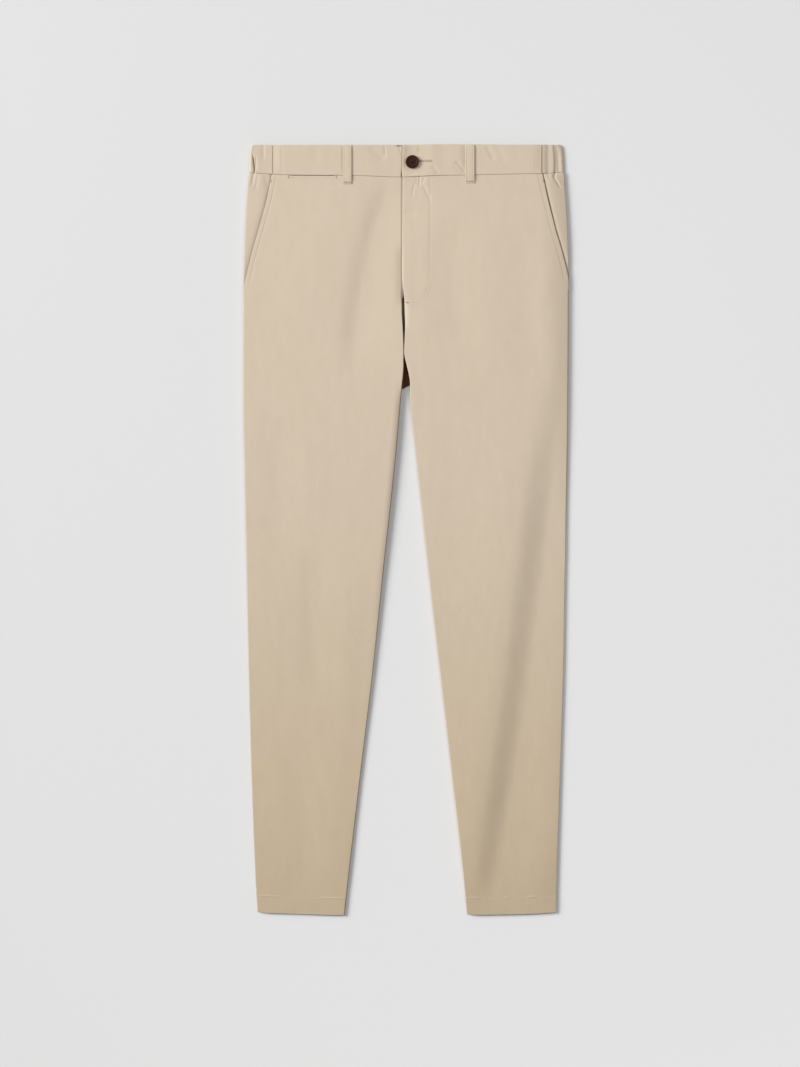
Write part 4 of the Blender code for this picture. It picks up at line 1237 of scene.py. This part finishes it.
def add_threads(name, runs, finish, radius=THREAD_RADIUS):
    """Runs of thread as one mesh: each is a tube through its points that thins at both ends."""
    runs = np.concatenate(runs)
    count, points = runs.shape[:2]
    along = np.gradient(runs, axis=1)
    along /= np.linalg.norm(along, axis=2, keepdims=True)
    across = np.cross(along, (0.0, 0.0, 1.0))
    across /= np.linalg.norm(across, axis=2, keepdims=True)
    up = np.cross(across, along)
    angle = np.linspace(0, 2 * math.pi, THREAD_SIDES, endpoint=False)[:, None]
    thick = THREAD_END_SHARE + (1 - THREAD_END_SHARE) * np.sin(np.linspace(0, math.pi, points))
    ring = across[:, :, None] * np.cos(angle) + up[:, :, None] * np.sin(angle)
    verts = (runs[:, :, None] + radius * thick[:, None, None] * ring).reshape(-1, 3)
    index = np.arange(count * points * THREAD_SIDES).reshape(count, points, THREAD_SIDES)
    beside = np.roll(index, -1, axis=2)
    corners = (index[:, :-1], beside[:, :-1], beside[:, 1:], index[:, 1:])
    faces = np.stack(corners, axis=-1).reshape(-1, 4).tolist()
    faces += index[:, 0, ::-1].tolist() + index[:, -1].tolist()
    mesh = bpy.data.meshes.new(name)
    mesh.from_pydata(verts.tolist(), [], faces)
    return add_piece(name, mesh, finish)


def sew(x, y, surface, rise=TACK_RISE, dip=STITCH_DIP):
    """Runs of thread over plan points, each of which dips into the cloth at both ends."""
    return grid(x, y, surface(x, y) + rise - dip * (2 * STITCH_PLACES) ** STITCH_FLATNESS)


def stitches(path, surface, pitch=STITCH_PITCH):
    """A row of stitches along a path of x and y."""
    at = distances_along(path)
    count = int(at[-1] / pitch)
    where = (np.arange(count)[:, None] + 0.5 + STITCH_PLACES * STITCH_SHARE) * pitch
    x, y = (np.interp(where, at, path[:, i]) for i in (0, 1))
    return sew(x, y, surface, STITCH_RISE)


def tack(place, towards, length, surface):
    """A bar tack: close short stitches side by side along a line from a place."""
    run = np.array(towards) / math.hypot(*towards)
    across = np.array((-run[1], run[0]))
    steps = np.arange(0, length, TACK_STEP)[:, None, None]
    share = STITCH_PLACES[:, None]
    points = np.array(place) + run * (steps + TACK_LEAN * TACK_STEP * share) + across * TACK_WIDTH * share
    return sew(points[..., 0], points[..., 1], surface)


def upright_row(x, low, high):
    """A path straight up from one level to another."""
    y = np.arange(low, high, PATH_STEP)
    return np.stack([np.full_like(y, x), y], axis=-1)


def make_stitches(finish):
    """Rows of stitches on the fronts."""
    right, left = (partial(front_surface, side) for side in (RIGHT, LEFT))
    for side, surface in ((RIGHT, right), (LEFT, left)):
        y = np.arange(POCKET_ROW_TOP_Y, POCKET_END_Y + POCKET_ROW_END, -PATH_STEP)
        row = np.stack([side.pocket(y) - side.outward * POCKET_STITCH_INSET, y], axis=-1)
        place = (side.pocket(POCKET_TACK_EDGE_Y) - side.outward * POCKET_TACK_INSET, POCKET_TACK_Y)
        top_tack = tack(place, (POCKET_TACK_SLOPE * side.outward, -1), POCKET_TACK_LENGTH, surface)
        add_threads(f"pocket_{side.name}_stitches", [stitches(row, surface), top_tack], finish)

    second = shifted(fly_path[fly_path[:, 1] < SECOND_FLY_ROW_TOP_Y], SECOND_FLY_ROW_GAP)
    fly_tack = tack(FLY_TACK_PLACE, (1, 0), FLY_TACK_LENGTH, left)
    add_threads("fly_stitches", [stitches(fly_path, left), stitches(second, left), fly_tack], finish)

    start, end = COIN_SLOT_X
    x = np.arange(start, end, PATH_STEP)
    row = np.stack([x, top_edge(RIGHT, x) - COIN_STITCH_INSET], axis=-1)
    ends = (start + COIN_TACK_INSET, end - COIN_TACK_INSET)
    tacks = [tack((at, COIN_TACK_Y), (0, -1), COIN_TACK_LENGTH, right) for at in ends]
    add_threads("coin_pocket_stitches", [stitches(row, right), *tacks], finish)

    for side, surface in ((RIGHT, right), (LEFT, left)):
        low, high = sorted((side.seam(HEM_ROW_Y), side.inner(HEM_ROW_Y)))
        x = np.arange(low + HEM_ROW_INSET, high - HEM_ROW_INSET, PATH_STEP)
        row = np.stack([x, hem_edge(x) + HEM_STITCH_INSET], axis=-1)
        add_threads(f"hem_{side.name}_stitches", [stitches(row, surface, HEM_STITCH_PITCH)], finish)


def make_band_stitches(finish):
    """Rows beside the joints with the elastic and on the belt loops."""
    surfaces = (underlap_surface, overlap_surface)
    for side, surface, inset in zip((RIGHT, LEFT), surfaces, JOINT_STITCH_INSETS):
        x = side.outward * (side.elastic_x - inset)
        row = upright_row(x, waist_seam(x) + BAND_ROW_INSET, band_top(x) - BAND_ROW_INSET)
        add_threads(f"waistband_{side.name}_stitches", [stitches(row, surface)], finish)

    for loop in BELT_LOOPS:
        surface = partial(loop_surface, loop)
        ends = (loop.low_y + LOOP_ROW_INSET, band_top(loop.low_x) - LOOP_ROW_INSET)
        columns = (loop.low_x + LOOP_STITCH_INSET, loop.high_x - LOOP_STITCH_INSET)
        runs = [stitches(upright_row(x, *ends), surface) for x in columns]
        width = loop.high_x - loop.low_x - 2 * LOOP_TACK_INSET
        place = (loop.low_x + LOOP_TACK_INSET, loop.low_y + LOOP_TACK_RISE)
        runs.append(tack(place, (1, 0), width, surface))
        add_threads(f"belt_loop_{loop.side}_stitches", runs, finish)


def make_buttonhole_stitches(finish):
    """Stitches along both sides of the buttonhole, and all round its eyelet."""
    sew_hole = partial(sew, surface=overlap_surface, dip=HOLE_STITCH_DIP)
    start, end = EYELET_X + EYELET_RADIUS + HOLE_STITCH_START, BUTTONHOLE_X[1] + HOLE_STITCH_END
    x = np.arange(start, end, HOLE_STITCH_PITCH)[:, None]
    away = HOLE_STITCH_AWAY + HOLE_STITCH_LENGTH * STITCH_PLACES
    runs = [sew_hole(x, BUTTONHOLE_Y + above * away) for above in (1, -1)]
    angle = np.linspace(0, 2 * math.pi, EYELET_STITCHES, endpoint=False)[:, None]
    away = EYELET_RADIUS + EYELET_STITCH_AWAY + HOLE_STITCH_LENGTH * STITCH_PLACES
    runs.append(sew_hole(EYELET_X + away * np.cos(angle), BUTTONHOLE_Y + away * np.sin(angle)))
    add_threads("buttonhole_stitches", runs, finish)


def make_button_thread(finish):
    """The thread cross through the button's four holes."""
    low, high = (np.array(corner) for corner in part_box("button"))
    centre = (low + high)[:2] / 2
    share = np.linspace(-0.5, 0.5, BUTTON_THREAD_POINTS)[:, None]
    dip = BUTTON_THREAD_DIP * (2 * share) ** BUTTON_THREAD_FLATNESS
    z = high[2] - BUTTON_DISH + BUTTON_THREAD_RISE - dip
    runs = []
    for angle in (math.pi / 4, 3 * math.pi / 4):
        run = np.array((math.cos(angle), math.sin(angle)))
        across = np.array((-run[1], run[0]))
        for aside in (-BUTTON_THREAD_STEP, 0.0, BUTTON_THREAD_STEP):
            places = centre + run * BUTTON_THREAD_LENGTH * share + across * aside
            runs.append(np.hstack([places, z])[None])
    add_threads("button_thread", runs, finish, BUTTON_THREAD_RADIUS)


# Finishes


def set_inputs(node, inputs):
    """Gives a shader node's inputs their values, or joins them to other nodes' outputs."""
    for name, value in inputs.items():
        if isinstance(value, bpy.types.NodeSocket):
            node.id_data.links.new(value, node.inputs[name])
        else:
            node.inputs[name].default_value = value


def add_node(tree, kind, output, inputs, **settings):
    """One output of a new shader node."""
    made = tree.nodes.new(f"ShaderNode{kind}")
    for name, value in settings.items():
        setattr(made, name, value)
    set_inputs(made, inputs)
    return made.outputs[output]


def add_range(tree, value, low, high, start=0.0, end=1.0):
    """A value that goes from low to high as another goes from start to end."""
    inputs = {"Value": value, "From Min": start, "From Max": end, "To Min": low, "To Max": high}
    return add_node(tree, "MapRange", "Result", inputs)


def add_mix(tree, share, first, second, blend="MIX"):
    """A mix of two colours."""
    inputs = {"Fac": share, "Color1": first, "Color2": second}
    return add_node(tree, "MixRGB", "Color", inputs, blend_type=blend)


def new_finish(name):
    """A new material, with its node tree, its shader and the place on the piece."""
    made = bpy.data.materials.new(name)
    made.use_nodes = True
    tree = made.node_tree
    return made, tree, tree.nodes["Principled BSDF"], add_node(tree, "TexCoord", "Object", {})


def cloth_finish(name, colour, dark):
    """Brushed cotton twill: slanted ribs, uneven yarn, mottled colour, and painted shade in openings and
    towards the hems.
    """
    made, tree, shader, at = new_finish(name)
    slant = add_node(tree, "Mapping", "Vector", {"Vector": at, "Rotation": (0.0, 0.0, RIB_SLANT)})
    tall = add_node(tree, "Mapping", "Vector", {"Vector": at, "Scale": MOTTLE_SCALE})
    rib_look = {"Scale": 400.0, "Distortion": 1.2, "Detail": 1.0, "Detail Scale": 2.0}
    ribs = add_node(tree, "TexWave", "Fac", {"Vector": slant, **rib_look})
    yarn_look = {"Scale": 1100.0, "Detail": 2.0, "Roughness": 0.6}
    yarn = add_node(tree, "TexNoise", "Fac", {"Vector": at, **yarn_look})
    mottle_look = {"Scale": 90.0, "Detail": 5.0, "Roughness": 0.62}
    mottle = add_node(tree, "TexNoise", "Fac", {"Vector": tall, **mottle_look})

    tone = add_mix(tree, add_range(tree, mottle, 0.35, 1.0, 0.30, 0.62), dark, colour)
    grain = add_mix(tree, 1.0, tone, add_range(tree, ribs, 0.93, 1.03), "MULTIPLY")
    # painted shade: the cloth turns warmer and a little darker towards the hems, where less light falls
    level = add_node(tree, "SeparateXYZ", "Y", {"Vector": at})
    hem_shade = add_mix(tree, add_range(tree, level, 0.0, 1.0, *PAINTED_HEM_SHADE_Y), WHITE, PAINTED_HEM_SHADE_TINT)
    tinted = add_mix(tree, 1.0, grain, hem_shade, "MULTIPLY")
    # painted shade: the shade attribute mixes in dark brown where openings and creases lie in shadow
    shade = add_node(tree, "Attribute", "Fac", {}, attribute_name="shade")

    weave = add_node(tree, "Math", "Value", {0: yarn, 1: 0.5, 2: ribs}, operation="MULTIPLY_ADD")
    relief = {"Height": weave, "Strength": 0.35, "Distance": 0.00012}
    look = {
        "Base Color": add_mix(tree, shade, tinted, PAINTED_SHADE_COLOUR),
        "Roughness": add_range(tree, mottle, 0.80, 0.95),
        "Normal": add_node(tree, "Bump", "Normal", relief),
        "Specular IOR Level": 0.22,
        "Sheen Weight": 0.12,
        "Sheen Roughness": 0.45,
        "Sheen Tint": SHEEN_TINT,
    }
    set_inputs(shader, look)
    return made


def plain_finish(name, colour, dark, roughness, scale):
    """A mottled finish between two colours, for thread and for the button."""
    made, tree, shader, at = new_finish(name)
    mottle = add_node(tree, "TexNoise", "Fac", {"Vector": at, "Scale": scale, "Detail": 3.0})
    tone = add_mix(tree, mottle, dark, colour)
    set_inputs(shader, {"Base Color": tone, "Roughness": roughness, "Specular IOR Level": 0.1})
    return made


# Floor, light and camera


def floor_finish():
    """Matt pale grey, paler away from the lights, so that the floor looks evenly lit."""
    made, tree, shader, at = new_finish("floor")
    away = add_node(tree, "VectorMath", "Vector", {0: at, 1: FLOOR_DARKEST}, operation="SUBTRACT")
    curve = add_node(tree, "VectorMath", "Vector", {0: away, 1: FLOOR_CURVE}, operation="MULTIPLY")
    rise = add_node(tree, "VectorMath", "Value", {0: curve, 1: curve}, operation="DOT_PRODUCT")
    tone = add_range(tree, rise, FLOOR_TONE, FLOOR_MOST_TONE, 0.0, FLOOR_MOST_TONE - FLOOR_TONE)
    set_inputs(shader, {"Base Color": tone, "Roughness": 1.0, "Specular IOR Level": 0.0})
    return made


def make_floor():
    """The surface that the trousers lie on, just under them."""
    mesh = bpy.data.meshes.new("floor")
    low, high = -FLOOR_HALF, FLOOR_HALF
    corners = [(low, low), (high, low), (high, high), (low, high)]
    mesh.from_pydata([(x, y, -FLOOR_GAP) for x, y in corners], [], [(0, 1, 2, 3)])
    floor = add_object("floor", mesh)
    mesh.materials.append(floor_finish())


def add_area_light(name, place, aim, size, power, spread):
    """A round area light that is aimed at a point."""
    light = bpy.data.lights.new(name, "AREA")
    light.shape = "DISK"
    light.size = size
    light.energy = power
    light.spread = math.radians(spread)
    lamp = add_object(name, light)
    lamp.location = place
    lamp.rotation_euler = (Vector(aim) - Vector(place)).to_track_quat("-Z", "Y").to_euler()


def light_scene():
    """A large light from the left, a weak one from above, and an even white world."""
    add_area_light("key", (-3.4, 1.2, 2.2), (1.2, 0.0, 0.0), size=2.5, power=58.0, spread=70)
    add_area_light("top", (0.45, 0.5, 1.8), (0.1, 0.2, 0.0), size=1.0, power=4.75, spread=120)
    world = bpy.data.worlds.new("studio")
    bpy.context.scene.world = world
    world.use_nodes = True
    set_inputs(world.node_tree.nodes["Background"], {"Color": WHITE, "Strength": WORLD_STRENGTH})
    view = bpy.context.scene.view_settings
    view.view_transform = "Standard"
    view.look = "None"


def make_camera():
    """Looks straight down, with the waist at the picture's top."""
    data = bpy.data.cameras.new("camera")
    data.lens = CAMERA_LENS
    data.sensor_width = CAMERA_SENSOR_WIDTH
    camera = add_object("camera", data)
    camera.location = CAMERA_PLACE
    camera.rotation_euler = (0.0, 0.0, 0.0)
    bpy.context.scene.camera = camera


def main():
    twill = cloth_finish("cotton_twill", *TWILL_COLOURS)
    thread = plain_finish("tan_thread", *THREAD_COLOURS, roughness=0.7, scale=900.0)
    brown_thread = plain_finish("brown_thread", *BUTTON_THREAD_COLOURS, roughness=0.7, scale=900.0)
    resin = plain_finish("brown_resin", *RESIN_COLOURS, roughness=0.62, scale=420.0)

    make_floor()
    for side in (RIGHT, LEFT):
        make_back(side, twill)
        make_front(side, twill)
        make_facing(side, twill)
        make_elastic(side, twill)
    make_bands(twill)
    make_coin_facing(twill)
    for loop in BELT_LOOPS:
        make_belt_loop(loop, twill)
    make_stitches(thread)
    make_band_stitches(thread)
    make_buttonhole_stitches(thread)
    make_button_thread(brown_thread)
    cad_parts["button"].material_slots[0].material = resin
    light_scene()
    make_camera()


main()
